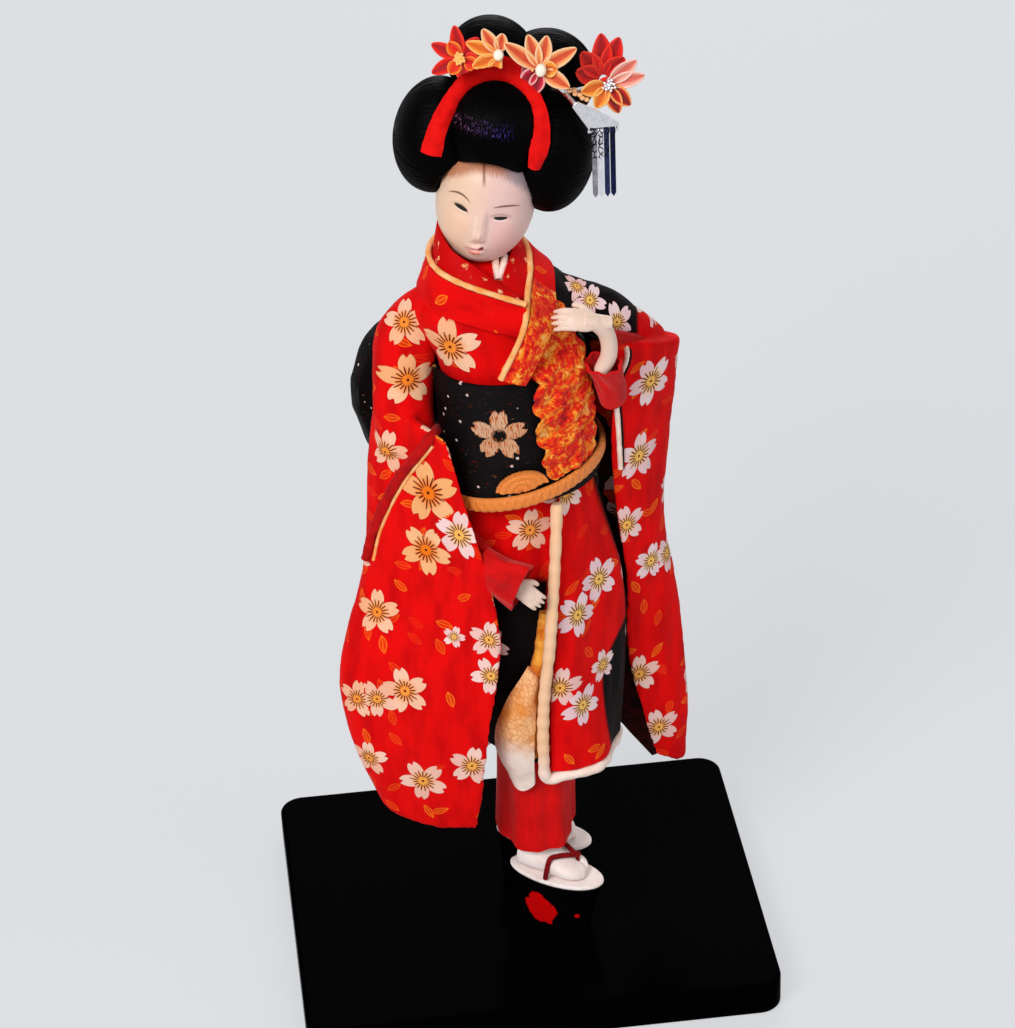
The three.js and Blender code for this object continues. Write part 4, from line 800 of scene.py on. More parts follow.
def make_petal(name, inner, outer, edge):
    """Folded silk: the cup's inner colour, the outside and the pale selvedge, by the petal's own layer."""
    n = Material(name)
    across, out, _ = n.parts(n.uv("petal"))
    side = abs(across)
    cloth = n.uv("cloth")
    base = n.mix(n.ease(side, 0.25, 0.75), inner, outer)
    base = n.mix(n.ease(out, 0.0, 0.35, 0.6, 0.0), base, inner)
    base = n.mix(n.ease(side, 0.78, 0.92), base, edge)
    base = n.mix(n.noise(cloth, 0.8, 3.0) * 0.3, base, outer)
    return n.set(Base_Color=base, Roughness=0.7, Sheen_Weight=0.2, Specular_IOR_Level=0.25,
                 Normal=crepe(n, cloth, 0.35, 0.04))


def make_pearl():
    n = Material("pearl")
    place = n.place()
    base = n.mix(n.noise(place, 0.9, 2.0), rgb(246, 224, 196), rgb(250, 240, 228))
    grain = n.bump(n.noise(place, 1.2), 0.05, 0.4)
    return n.set(Base_Color=base, Roughness=0.2, Coat_Weight=0.4, Normal=grain)


def make_brocade(name, blossom):
    """Black sash silk: woven ribs, scattered stitches, and blossoms stitched where the mesh has them."""
    n = Material(name)
    cloth = n.uv("cloth")
    place, tone_uv = n.uv("blossom"), n.uv("tone")
    _, seed, _ = n.parts(tone_uv)
    inside, reach, _, number = use(n, blossom, place, seed * 31)
    rib = n.wave(cloth, 0.9, 0.4, "Y")
    base = n.mix(rib, rgb(3, 2, 3), rgb(12, 9, 10))
    thread = n.noise(n.vector("MULTIPLY", cloth, (0.25, 1.8, 1.0)), 1.0, 3.0, 0.65)
    base = n.mix(n.ease(thread, 0.64, 0.72), base, rgb(150, 24, 16))
    gold = n.noise(n.vector("MULTIPLY", cloth, (0.35, 2.2, 1.0)), 1.0, 2.0, 0.7)
    base = n.mix(n.ease(gold, 0.70, 0.76), base, rgb(206, 132, 60))
    speck = n.cells(cloth, 0.22)
    base = n.mix(1 - n.ease(speck, 0.09, 0.14), base, rgb(230, 206, 200))
    stitch = n.wave(cloth, 1.5, 2.0)
    petal = n.mix(n.ease(stitch, 0.45, 0.8), rgb(248, 206, 168), rgb(214, 116, 48))
    petal = n.mix(n.ease(reach, 0.22, 0.3), rgb(8, 5, 6), petal)
    petal = n.mix(number * 0.25, petal, rgb(250, 222, 196))
    ragged = n.noise(n.vector("MULTIPLY", cloth, (2.4, 0.3, 1.0)), 1.0, 2.0) - 0.5
    cover = n.ease(ragged * 1.3 + inside, 0.0, 0.05)
    petal = n.mix(n.ease(ragged, 0.04, 0.1), petal, rgb(206, 96, 30))
    base = n.mix(cover, base, petal)
    height = cover * 3 + (rib + stitch * cover * 1.2)
    return n.set(Base_Color=base, Roughness=0.6, Sheen_Weight=0.0, Specular_IOR_Level=0.08,
                 Normal=n.bump(height, 0.12, 0.8))


def make_crinkled():
    """Tie-dyed silk: red, orange and gold in small puckers."""
    n = Material("crinkled_silk")
    cloth = n.uv("cloth")
    broad = n.noise(cloth, 0.16, 3.0, 0.6, 0.6)
    fine = n.noise(cloth, 0.55, 3.0, 0.65, 0.8)
    share = broad * 0.55 + fine * 0.45
    base = n.ramp(share, (0.36, rgb(150, 4, 4)), (0.44, rgb(222, 12, 6)), (0.50, rgb(226, 60, 8)),
                  (0.56, rgb(240, 140, 24)), (0.66, rgb(248, 196, 120)))
    pucker = n.cells(cloth, 0.75)
    return n.set(Base_Color=base, Roughness=0.6, Sheen_Weight=0.04, Specular_IOR_Level=0.15,
                 Normal=n.bump(pucker, 0.35, 0.7))


def make_braid(name):
    """Gold and orange silk cord with slanting strands."""
    n = Material(name)
    cloth = n.uv("cloth")
    strand = n.wave(cloth, 1.1, 0.3, "DIAGONAL")
    base = n.mix(strand, rgb(214, 84, 12), rgb(240, 158, 48))
    base = n.mix(n.noise(cloth, 1.4, 3.0) * 0.6, base, rgb(226, 120, 30))
    return n.set(Base_Color=base, Roughness=0.5, Sheen_Weight=0.15, Normal=n.bump(strand, 0.12, 0.6))


def make_embroidered(name):
    """Red collar silk with small gold and white stitched figures."""
    n = Material(name)
    cloth = n.uv("cloth")
    ground = n.mix(n.noise(cloth, 0.15, 3.0), rgb(214, 6, 8), rgb(176, 4, 8))
    spot = n.cells(cloth, 0.24)
    colour = n.cells(cloth, 0.24, out=1)
    fine = n.noise(cloth, 0.9, 4.0, 0.7)
    broken = spot + (fine - 0.5) * 1.1
    share = 1 - n.ease(broken, 0.16, 0.24)
    thread = n.mix(n.node("SeparateColor", colour, out=0), rgb(240, 130, 30), rgb(248, 206, 160))
    base = n.mix(share, ground, thread)
    return n.set(Base_Color=base, Roughness=0.65, Sheen_Weight=0.0, Specular_IOR_Level=0.06,
                 Normal=n.bump(share, 0.12, 0.7, crepe(n, cloth)))


def make_netted(name):
    """Peach and gold lining with a netted weave, paler towards its edge."""
    n = Material(name)
    cloth = n.uv("cloth")
    net = n.cells(cloth, 0.5, feature="DISTANCE_TO_EDGE")
    line = 1 - n.ease(net, 0.04, 0.12)
    broad = n.noise(cloth, 0.07, 3.0)
    base = n.mix(n.ease(broad, 0.4, 0.62), rgb(248, 190, 132), rgb(226, 134, 40))
    base = n.mix(line * 0.5, base, rgb(206, 98, 30))
    _, _, z = n.parts(n.place())
    pale = z + n.noise(cloth, 0.2) * 14
    base = n.mix(n.ease(pale, LIFT + SKIRT_HEM + 12, LIFT + SKIRT_HEM + 26), rgb(244, 222, 208), base)
    weave = n.bump(net, 0.15, 0.6, crepe(n, cloth))
    return n.set(Base_Color=base, Roughness=0.7, Sheen_Weight=0.03, Normal=weave)


BLOSSOM = make_blossom()
PRINTED = make_printed("printed_crepe", BLOSSOM)
BROCADE = make_brocade("sash_brocade", BLOSSOM)
PLAIN_RED = make_cloth("red_silk", rgb(214, 6, 6), rgb(178, 3, 6), sheen=0.1)
SATIN_RED = make_cloth("red_satin", rgb(222, 8, 8), rgb(196, 4, 6), rough=0.5, height=0.02,
                       streak=(1.2, 0.06, 1.0))
PEACH_SILK = make_cloth("peach_silk", rgb(248, 196, 138), rgb(240, 150, 72), size=6)
WHITE_SILK = make_cloth("white_silk", rgb(250, 232, 224), rgb(242, 206, 186), size=6)
STRAP_RED = make_cloth("strap_velvet", rgb(132, 8, 12), rgb(100, 4, 8), size=3, rough=0.85)
SOCK_WHITE = make_cloth("sock_cotton", rgb(252, 240, 234), rgb(240, 220, 212), size=8, weave=0.6)
SOLE_WHITE = make_cloth("sole_mat", rgb(250, 240, 236), rgb(232, 214, 208), size=5, weave=0.9, height=0.12)
LACQUER = make_lacquer()
WOOD = make_wood()
STEEL = make_steel()
SILVER = make_silver("silver", rgb(246, 246, 248), rgb(226, 226, 232))
# Painted reflection: each drop's light and dark colours stand for the surroundings that its mirror surface
# reflects.
DROP_REFLECTION_COLOURS = [((196, 194, 206), (70, 56, 70)), ((250, 250, 252), (222, 222, 234)),
                ((66, 76, 124), (20, 24, 48)), ((40, 48, 92), (14, 16, 34))]
SILVER_DROPS = [make_silver("silver_drop_%d" % (k + 1), rgb(*light), rgb(*dark), chased=10.5)
                for k, (light, dark) in enumerate(DROP_REFLECTION_COLOURS)]
PLASTER = make_skin()
FACE = make_face(make_stroke())
HAIR = make_hair("hair")
# The front roll carries a patch of painted highlight.
HAIR_FRONT = make_hair("hair_front_roll", (18, 25, 40, 62))
EMBROIDERED = make_embroidered("collar_silk")
CRINKLED = make_crinkled()
BRAID = make_braid("braided_cord")
NETTED = make_netted("netted_lining")
RIBBON_RED = make_cloth("ribbon_crepe", rgb(232, 14, 8), rgb(206, 4, 4), size=5, weave=0.6, height=0.09)
PETAL_RED = make_petal("petal_red", rgb(150, 4, 10), rgb(222, 16, 10), rgb(236, 50, 20))
PETAL_PEACH = make_petal("petal_peach", rgb(196, 40, 18), rgb(240, 160, 96), rgb(250, 208, 162))
PETAL_PINK = make_petal("petal_pink", rgb(206, 84, 72), rgb(230, 160, 140), rgb(246, 206, 190))
PETAL_GOLD = make_petal("petal_gold", rgb(206, 84, 14), rgb(240, 150, 50), rgb(250, 192, 110))
PETAL_ORANGE = make_petal("petal_orange", rgb(200, 30, 8), rgb(238, 84, 14), rgb(244, 150, 50))
PETAL_CRIMSON = make_petal("petal_crimson", rgb(120, 4, 26), rgb(196, 20, 50), rgb(244, 176, 172))
PETAL_DARK_GOLD = make_petal("petal_dark_gold", rgb(90, 2, 8), rgb(190, 30, 14), rgb(250, 178, 96))
PEARL = make_pearl()
BEAD_THREAD = make_cloth("bead_thread", rgb(250, 202, 150), rgb(226, 130, 54), size=1.6)


# What the photograph's camera sees on a mesh, and blossoms printed there

def ray(px, py):
    """The way that a pixel of the photograph looks."""
    way = AHEAD + RIGHT * (px - CENTRE_X) / FOCAL - UP * (py - CENTRE_Y) / FOCAL
    return way / np.linalg.norm(way)


def tree_of(*pieces):
    """The surface of some pieces, for rays to meet."""
    points, faces = [], []
    for made in pieces:
        start = len(points)
        points += [v.co[:] for v in made.data.vertices]
        faces += [[start + i for i in p.vertices] for p in made.data.polygons]
    return BVHTree.FromPolygons(points, faces)


def seen_at(tree, px, py):
    """The point and normal, in mm, that a pixel of the photograph sees on a mesh."""
    spot, turn, _, _ = tree.ray_cast(Vector(EYE * MM), Vector(ray(px, py)))
    return (None, None) if spot is None else (np.array(spot) / MM, np.array(turn))


def pixels(points):
    """Where the photograph's camera sees points in mm, across and down."""
    rest = np.asarray(points, float) - EYE
    deep = rest @ AHEAD
    return CENTRE_X + FOCAL * (rest @ RIGHT) / deep, CENTRE_Y - FOCAL * (rest @ UP) / deep


def on_pixels(tree, rows, count, rounds=8):
    """Points and normals on a mesh along a path of the photograph's pixels, evened out."""
    seen = [seen_at(tree, x, y) for x, y, _ in even([(x, y, 0) for x, y in rows], count)]
    spots, turn = (np.array([s[k] for s in seen if s[0] is not None]) for k in (0, 1))
    for line in (spots, turn):
        for _ in range(rounds):
            line[1:-1] = (line[:-2] + 2 * line[1:-1] + line[2:]) / 4
    return spots, unit(turn)


def laid(name, tree, rows, radius, material, slot, rounds=8):
    """A narrow fold of cloth that lies on a mesh along the photograph's pixels."""
    spots, turn = on_pixels(tree, rows, 110, rounds)
    run = np.linspace(0, 1, len(spots))
    size = radius * (1 + 0.08 * wobble(run * 40, 3))
    made = Piece(name)
    made.tube(spots + turn * radius * 0.4, size, material, 14)
    return made.build(slot=slot)


def faces_of(made):
    """The middles of a mesh's faces in mm and their normals."""
    return read(made.data.polygons, "center") / MM, read(made.data.polygons, "normal")


def corner_points(mesh):
    """The point in mm at each corner of each face."""
    return read(mesh.vertices, "co")[read(mesh.loops, "vertex_index", 1, np.int64)[:, 0]] / MM


def stamp(made, spots):
    """Writes each face's nearest blossom as layers. A spot is (point, normal, radius, tone, turn)."""
    mesh = made.data
    centre, turn = faces_of(made)
    best = np.full(len(centre), 1.15)
    owner = np.full(len(centre), -1)
    axes = []
    for k, (spot, facing, radius, tone, angle) in enumerate(spots):
        away = np.array([0, 0, 1.0]) if abs(facing[2]) < 0.9 else np.array([0, -1.0, 0])
        across = unit(np.cross(away, facing))
        up = np.cross(facing, across)
        c, s = math.cos(angle), math.sin(angle)
        axes.append((across * c + up * s, up * c - across * s))
        rest = centre - spot
        reach = np.hypot(rest @ axes[k][0], rest @ axes[k][1]) / radius
        near = (reach < best) & (np.abs(rest @ facing) < 0.75 * radius) & (turn @ facing > 0.1)
        best[near], owner[near] = reach[near], k
    corner_owner = np.repeat(owner, read(mesh.polygons, "loop_total", 1, np.int64)[:, 0])
    corners = corner_points(mesh)
    place = np.full((len(corners), 2), 9.0)
    tones = np.zeros((len(corners), 2))
    for k, (spot, facing, radius, tone, angle) in enumerate(spots):
        mine = corner_owner == k
        rest = (corners[mine] - spot) / radius
        place[mine] = np.stack([rest @ axes[k][0], rest @ axes[k][1]], 1)
        tones[mine] = (tone, (k * 0.618) % 1)
    write_layer(mesh, "blossom", place)
    write_layer(mesh, "tone", tones)


def scattered(made, taken, spacing, radius, tone, seed, keep=None):
    """Blossoms over the rest of a mesh, at least spacing apart and clear of the ones given."""
    random = np.random.default_rng(seed)
    centre, turn = faces_of(made)
    spots = list(taken)
    order = random.permutation(len(centre))[:6000]
    places = [s[0] for s in spots]
    for i in order:
        if keep is not None and not keep(centre[i], turn[i]):
            continue
        gap = spacing * random.uniform(0.8, 1.25)
        if places and np.min(np.linalg.norm(np.array(places) - centre[i], axis=1)) < gap:
            continue
        size, pale = radius * random.uniform(0.8, 1.1), tone * random.uniform(0.5, 1.2)
        spots.append((centre[i], turn[i], size, pale, random.uniform(0, 6.28)))
        places.append(centre[i])
    return spots


def seen_spots(tree, rows):
    """Blossoms that the photograph shows, each given as (px, py, radius, tone, turn)."""
    spots = []
    for px, py, radius, tone, angle in rows:
        spot, turn = seen_at(tree, px, py)
        if spot is not None:
            spots.append((spot, turn, radius, tone, angle))
    return spots


def flat_uv(made, across):
    """A cloth layer in mm for a remeshed piece, measured along a level direction and up."""
    corners = corner_points(made.data)
    write_layer(made.data, "cloth", np.stack([corners @ np.asarray(across, float), corners[:, 2]], 1))


def paint_shade(made, amount):
    """Writes how much painted shade darkens the ground at each point, from amount(points) in mm."""
    points, _ = mesh_of(made)
    layer = made.data.attributes.new("dark", "FLOAT", "POINT")
    layer.data.foreach_set("value", np.clip(amount(points), 0, 1).astype(np.float32))


# The standing body's own form, as the frame has it: height, middle, half width, half depth and turn

HIP, WAIST, SASH_LOW, SASH_TOP = 150, 176, 170, 218
SHOULDER, NECK_BASE = 240, 253
BODY = [
    (SKIRT_HEM, 12, -6, 25.5, 28.5, 25),
    (82, 12, -7.5, 29.5, 25.5, 27),
    (108, 11, -7.5, 33, 24.5, 28),
    (128, 9.5, -8, 33, 23.5, 27),
    (HIP, 7, -7, 29.5, 23, 26),
    (WAIST, 5, -6, 26, 21.5, 24),
    (200, 3.5, -5.5, 25, 21.5, 22),
    (SASH_TOP, 2, -5, 25.5, 22, 20),
    (230, -0.5, -4, 28, 21.5, 18),
    (SHOULDER, -2.8, -3, 28.5, 21.6, 16),
    (247, -3.8, -2.4, 22, 18, 15),
    (NECK_BASE, -4.3, -2, 14, 12.4, 14),
]
SASH_INSIDE = SEAT + 0.5
SASH_OUTSIDE = SASH_INSIDE + 2.6
CORD_THICK, CORD_HEIGHT, CORD_TILT = 2.4, 5.2, 5
CORD_INSIDE = SASH_OUTSIDE + SEAT + 0.2
ROLL_RADIUS = 2.1
SHOULDER_RIGHT, ELBOW_RIGHT, WRIST_RIGHT = (-24, -3, 236), (-37, -9, 183), (-5, -37, 144)
SHOULDER_LEFT, ELBOW_LEFT, WRIST_LEFT = (23, 0, 229), (56, 8, 208), (36, -17, 227)
FRONT_EDGE = [(SKIRT_HEM, -34), (82, -29), (108, -20), (140, -8), (WAIST, 6)]
PANEL_STEP = 3.4


def on_body(angle, height, out=0.0):
    """A point on the clothed body: angle 0 is its front, and a positive angle turns to its left side."""
    turn = np.radians(along(BODY, height, 5))
    side = np.sin(angle) * (along(BODY, height, 3) + out)
    front = np.cos(angle) * (along(BODY, height, 4) + out)
    x = along(BODY, height, 1) + side * np.cos(turn) + front * np.sin(turn)
    y = along(BODY, height, 2) + side * np.sin(turn) - front * np.cos(turn)
    return lifted(stacked(x, y, height))


def skirt_out(angle, height):
    """How far the skirt stands off the body's form, with its gathers."""
    low = ease(WAIST - height, 0, 60)
    gathers = 0.9 * np.sin(angle * 5 + height * 0.03) + 0.5 * np.sin(angle * 8 - height * 0.05 + 2)
    return low * gathers


def cord_middle(angle):
    return SASH_LOW + CORD_HEIGHT / 2 + 2.4 + CORD_TILT * np.sin(angle)


# Board, sandals and feet

def build_board():
    """The lacquered board, with rounded corners and edges."""
    _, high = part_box("base_board")
    half_x, half_y, thick = high.x / MM, high.y / MM, high.z / MM
    corner, edge = 9, 1.6

    def outline(inset, height):
        r = max(corner - inset, 0.5)
        ring = []
        for k, (sx, sy) in enumerate([(1, -1), (1, 1), (-1, 1), (-1, -1)]):
            a = np.radians(np.linspace(-90, 0, 14) + 90 * k)
            x, y = sx * (half_x - inset - r), sy * (half_y - inset - r)
            ring.append(np.stack([x + r * np.cos(a), y + r * np.sin(a), np.full(14, height)], 1))
        return np.vstack(ring)

    rounds = np.radians(np.linspace(0, 90, 7))
    foot = [outline(edge * (1 - math.sin(a)), edge * (1 - math.cos(a))) for a in rounds]
    top = [outline(edge * (1 - math.cos(a)), thick - edge * (1 - math.sin(a))) for a in rounds]
    rings = [outline(edge + 0.4, 0)] + foot + top + [outline(edge + 0.4, thick)]
    board = blob(Piece("board"), np.array(rings), LACQUER)
    board.build(replaces="base_board", slot="base_lacquer")


# Rows of a foot from heel to toe: place along it, half width, height
FOOT_FORM = [(-15.5, 2, 5), (-14.5, 4.6, 9), (-11, 6.2, 11.6), (-5, 6.4, 10.4), (1, 6.9, 8.2),
             (6, 7.1, 6.4), (9.5, 6.2, 5.4), (11.5, 4.2, 4.2), (12.5, 2, 3)]
SANDAL_LENGTH, SANDAL_WIDTH, SANDAL_HEIGHT, SANDAL_COVER = 37.5, 17.2, 24, 1.6
TOE_GAP, SQUARENESS, STRAP_RADIUS, STRAP_CLEAR = 2.2, 0.7, 0.8, 1.4
ANKLE_BACK = 7
# Each foot: place, turn, and the side that its inner edge lies on
FEET = {"right": (11.2, -22.5, -33, 1), "left": (9.5, 1.9, -27, -1)}
SANDAL_MOTIF = [(541, 908, 10.5, 0, 0.75), (577, 916, 1.5, 0, 0.4)]
# The cover's rounded edge: height and share of the sandal's outline
COVER_LEVELS = [(0, 0.97), (0.15, 1.01), (0.5, 1.03), (1.1, 1.03), (1.45, 1.01), (1.6, 0.97)]


def in_step(points, foot):
    """Points of a foot, made along +X, at its place."""
    x, y, turn, _ = foot
    return set_down(points, x, y, turn)


def sole_ring(height, toe, heel, width, sides=72):
    """The sandal's oval outline, with shares of its full length before and behind and of its width."""
    a = circle(sides)
    x = SANDAL_LENGTH / 2 * np.cos(a) * np.where(np.cos(a) > 0, toe, heel)
    y = SANDAL_WIDTH / 2 * np.sin(a) * (1 + 0.1 * np.cos(a)) * width
    return np.stack([x, y, np.full(sides, height)], -1)


def sock_top(x, y):
    """How high the sock's upper side lies."""
    share = np.minimum(1, np.abs(y) / along(FOOT_FORM, x, 1))
    return SEAT + along(FOOT_FORM, x, 2) / 2 * (1 + (1 - share**2) ** (SQUARENESS / 2))


def build_block(side, foot):
    """The sandal's lacquered block, narrower at its foot and rounded at both edges."""
    top = SANDAL_HEIGHT - SANDAL_COVER - 2 * SEAT
    shares = np.concatenate([[0, 0.02], np.linspace(0.05, 0.97, 16), [0.99, 1]])
    rounded = np.array([0.985, 0.995] + [1] * 16 + [0.995, 0.985])
    rings = []
    for k, r in zip(shares, rounded):
        toe, heel, wide = 1 - 0.3 * (1 - k) ** 0.8, 1 - 0.08 * (1 - k), 0.86 + 0.14 * k**1.5
        rings.append(in_step(sole_ring(SEAT - SANDAL_HEIGHT + top * k, toe * r, heel * r, wide * r), foot))
    shoe = blob(Piece("okobo_" + side), np.array(rings), LACQUER_PAINTED)
    shoe = shoe.build(replaces="sandal_block_" + side, slot="sandal_lacquer")
    stamp(shoe, seen_spots(tree_of(shoe), SANDAL_MOTIF) if side == "right" else [])


def build_cover(side, foot):
    """The sandal's pale cover, with a mat set into it."""
    cover = np.array([in_step(sole_ring(z - SANDAL_COVER, k, k, k), foot) for z, k in COVER_LEVELS])
    inset = in_step(sole_ring(0.0, 0.9, 0.9, 0.9), foot)
    sole = Piece("sole_" + side).grid(np.concatenate([cover, inset[None]]), SOLE_WHITE, wrap=True)
    sole.cap(inset, SOLE_WHITE).cap(cover[0], SOLE_WHITE)
    sole.build(replaces="sandal_cover_" + side, slot="sandal_cover")


def build_sock(side, foot):
    """A split-toed sock: the foot and the ankle grown into one."""
    gap = foot[3] * TOE_GAP
    x = np.concatenate([np.linspace(-15.5, 11.4, 44), np.linspace(11.6, 12.5, 8)])
    a = circle(48)
    half, tall = along(FOOT_FORM, x, 1)[:, None], along(FOOT_FORM, x, 2)[:, None]
    rise = np.sign(np.sin(a)) * np.abs(np.sin(a)) ** SQUARENESS
    y = half * np.cos(a)[None]
    z = SEAT + tall / 2 * (1 + rise[None])
    pinch = bell(y - gap, 0.55) * ease(x[:, None], 6.2, 8.5)
    z = z - pinch * 1.3 * (rise[None] > 0)
    cleft = 1.2 * bell(y - gap, 0.6) * ease(x[:, None], 10.5, 12.4)
    skin = stacked(x[:, None] - cleft, y, z)
    ankle_z = np.linspace(3, 26, 24)[:, None]
    radius = 5.4 + 0.25 * np.sin(ankle_z * 1.4)
    ankle = stacked(-ANKLE_BACK + radius * np.cos(a), radius * np.sin(a), ankle_z)
    sock = Piece("tabi_" + side)
    blob(sock, in_step(skin, foot), SOCK_WHITE)
    blob(sock, in_step(ankle, foot), SOCK_WHITE)
    sock = fused(sock.build(replaces="sock_foot_" + side, slot="sock"), 0.3, 4)
    flat_uv(sock, (1, 0, 0))
    "leg_" + side


def build_thong(side, foot):
    """Two straps from the sandal's edges to a knot over the gap between the toes."""
    gap = foot[3] * TOE_GAP
    reach = STRAP_RADIUS + SEAT + STRAP_CLEAR
    strap = Piece("thong_" + side)
    edge = SANDAL_WIDTH / 2 - STRAP_RADIUS
    for way in (1, -1):
        spots = []
        for t in (0, 0.35, 0.7, 0.95):
            px, py = mixed(7.4, 0, t), mixed(gap, way * 5.9, t)
            spots.append((px, py, float(sock_top(px, py)) + reach - 0.9))
        spots += [(-0.6, way * edge, 3.4), (-1, way * edge, STRAP_RADIUS)]
        strap.tube(in_step(even(spots, 40), foot), 1.0, STRAP_RED, 14)
    knot = np.array([8, gap, float(sock_top(8, gap)) + reach - 0.2])
    blob(strap, in_step(sphere(knot, (1.5, 1.3, 1.1), 24, 14), foot), STRAP_RED)
    strap.tube(in_step([[8, gap, SEAT], knot * [1, 1, 0.5], knot], foot), 0.8, STRAP_RED, 12)
    strap.build(replaces="sandal_strap_" + side, slot="sandal_strap")


def build_foot(side):
    for build in (build_block, build_cover, build_sock, build_thong):
        build(side, FEET[side])


def make_painted_lacquer():
    """The sandals' lacquer with a motif in red paint."""
    n = Material("painted_lacquer")
    place = n.place()
    _, reach, _, _ = use(n, BLOSSOM, n.uv("blossom"), 1.0)
    shade = n.mix(n.noise(place, 0.05), rgb(2, 2, 3), rgb(7, 6, 7))
    edge = reach + n.noise(place, 0.25) * 0.5
    share = 1 - n.ease(edge, 0.86, 0.92)
    shade = n.mix(share, shade, n.mix(n.noise(place, 0.8), rgb(226, 8, 8), rgb(186, 6, 10)))
    return n.set(Base_Color=shade, Roughness=0.2, Specular_IOR_Level=0.06,
                 Normal=n.bump(n.noise(place, 0.2), 0.08, 0.3))


LACQUER_PAINTED = make_painted_lacquer()


# Skirts

UNDER_HEM, UNDER_TOP, UNDER_GIRTH = 12.4, HIP - 6, 0.122
# Rows of the underskirt: height, middle, half width and half depth
UNDER_FORM = [(UNDER_HEM, 5.5, -5.5, 14.8, 22), (30, 6, -5.5, 14.6, 21.5), (60, 7.5, -6.5, 15.5, 19.5),
              (110, 8, -7, 20, 18), (UNDER_TOP, 6, -7, 21, 17.5)]


def build_underskirt():
    a = circle(220)[None]
    h = np.concatenate([np.linspace(UNDER_HEM + 0.2, 60, 60), np.linspace(62, UNDER_TOP, 20)])[:, None]
    broad, fine = np.sin(a * 6 + 1), np.sin(a * 11 + h * 0.05)
    fold = 0.8 * broad * bell(h - UNDER_HEM, 60) + 0.45 * fine * bell(h - UNDER_HEM, 40)
    x = along(UNDER_FORM, h, 1) + (along(UNDER_FORM, h, 3) + fold - 0.5) * np.cos(a)
    y = along(UNDER_FORM, h, 2) + (along(UNDER_FORM, h, 4) + fold - 0.5) * np.sin(a)
    points = lifted(stacked(x, y, h))
    made = Piece("underskirt_cloth").shell(points, 0.8, SATIN_RED, wrap=True)
    made = made.build(replaces="underskirt", slot="under_silk")


def front_angle(height):
    return np.radians(along(FRONT_EDGE, height))


def build_skirt():
    """The printed skirt, wrapped once round, with its end tucked under its front edge."""
    tuck, under = 1.3, 0.5
    s = np.linspace(0.02, 2 * np.pi + under, 420)[None]
    h = np.linspace(SKIRT_HEM, WAIST - 1, 150)[:, None]
    edge = front_angle(h)
    angle = s + edge
    inner = ease(s, 2 * np.pi - tuck, 2 * np.pi - 0.9)
    step = PANEL_STEP * ease(WAIST - h, 0, 20)
    out = skirt_out(angle, h) - inner * (step + 0.7 * ease(s, 2 * np.pi - 0.1, 2 * np.pi + 0.1))
    points = on_body(angle, h, out - 0.6)
    turn = normals(points)
    low = ease(WAIST - h, 5, 60)
    ripple = folds(stacked(angle * 28, h, 0 * h), 3, (0.55, (7, 26, 1)), (0.25, (4, 12, 1)))
    points = points + turn * (ripple * low)[..., None]
    made = Piece("skirt_cloth").shell(points, 1.1, PRINTED, PLAIN_RED)
    made = made.build(replaces="kimono_skirt", slot="kimono_silk")
    return sheet(made, points, "hung", "torso", "underskirt_cloth")


def roll_points():
    """The line of the skirt's padded edge: down the front, then round the hem."""
    clear = ROLL_RADIUS + SEAT
    down = []
    for h in np.arange(SASH_LOW - clear, SKIRT_HEM, -15):
        a = front_angle(h) - math.radians(5)
        down.append(on_body(a, h, skirt_out(a, h) + clear + 0.5))
    start = float(along(FRONT_EDGE, SKIRT_HEM)) - 3
    for k, a in enumerate(np.radians(np.arange(start, start + 300, 15))):
        out = 0.6 if k == 0 else skirt_out(a, SKIRT_HEM) - 1.4
        down.append(on_body(a, SKIRT_HEM - clear - 0.3, out))
    return np.array(down).reshape(-1, 3)


def build_roll():
    points = even(roll_points(), 420)
    run = np.linspace(0, 1, len(points))
    radius = ROLL_RADIUS * (1 + 0.10 * wobble(run * 60, 4) + 0.05 * np.sin(run * 260))
    radius *= ease(run, -0.01, 0.01) * 0.4 + 0.6
    rings = tube_rings(points, radius, 18)
    made = blob(Piece("padded_edge"), rings, EDGE_SILK)
    made = made.build(replaces="skirt_edge_roll", slot="lining")


def make_edge_silk():
    """The padded edge: peach down the front, near white round the hem."""
    n = Material("edge_silk")
    cloth = n.uv("cloth")
    _, _, z = n.parts(n.place())
    peach = n.mix(n.noise(cloth, 0.2, 3.0), rgb(246, 208, 172), rgb(236, 174, 122))
    white = n.mix(n.noise(cloth, 0.2, 3.0), rgb(252, 236, 226), rgb(240, 200, 178))
    base = n.mix(n.ease(z, LIFT + SKIRT_HEM - 2, LIFT + SKIRT_HEM + 14), white, peach)
    return n.set(Base_Color=base, Roughness=0.75, Sheen_Weight=0.15, Normal=crepe(n, cloth))


EDGE_SILK = make_edge_silk()


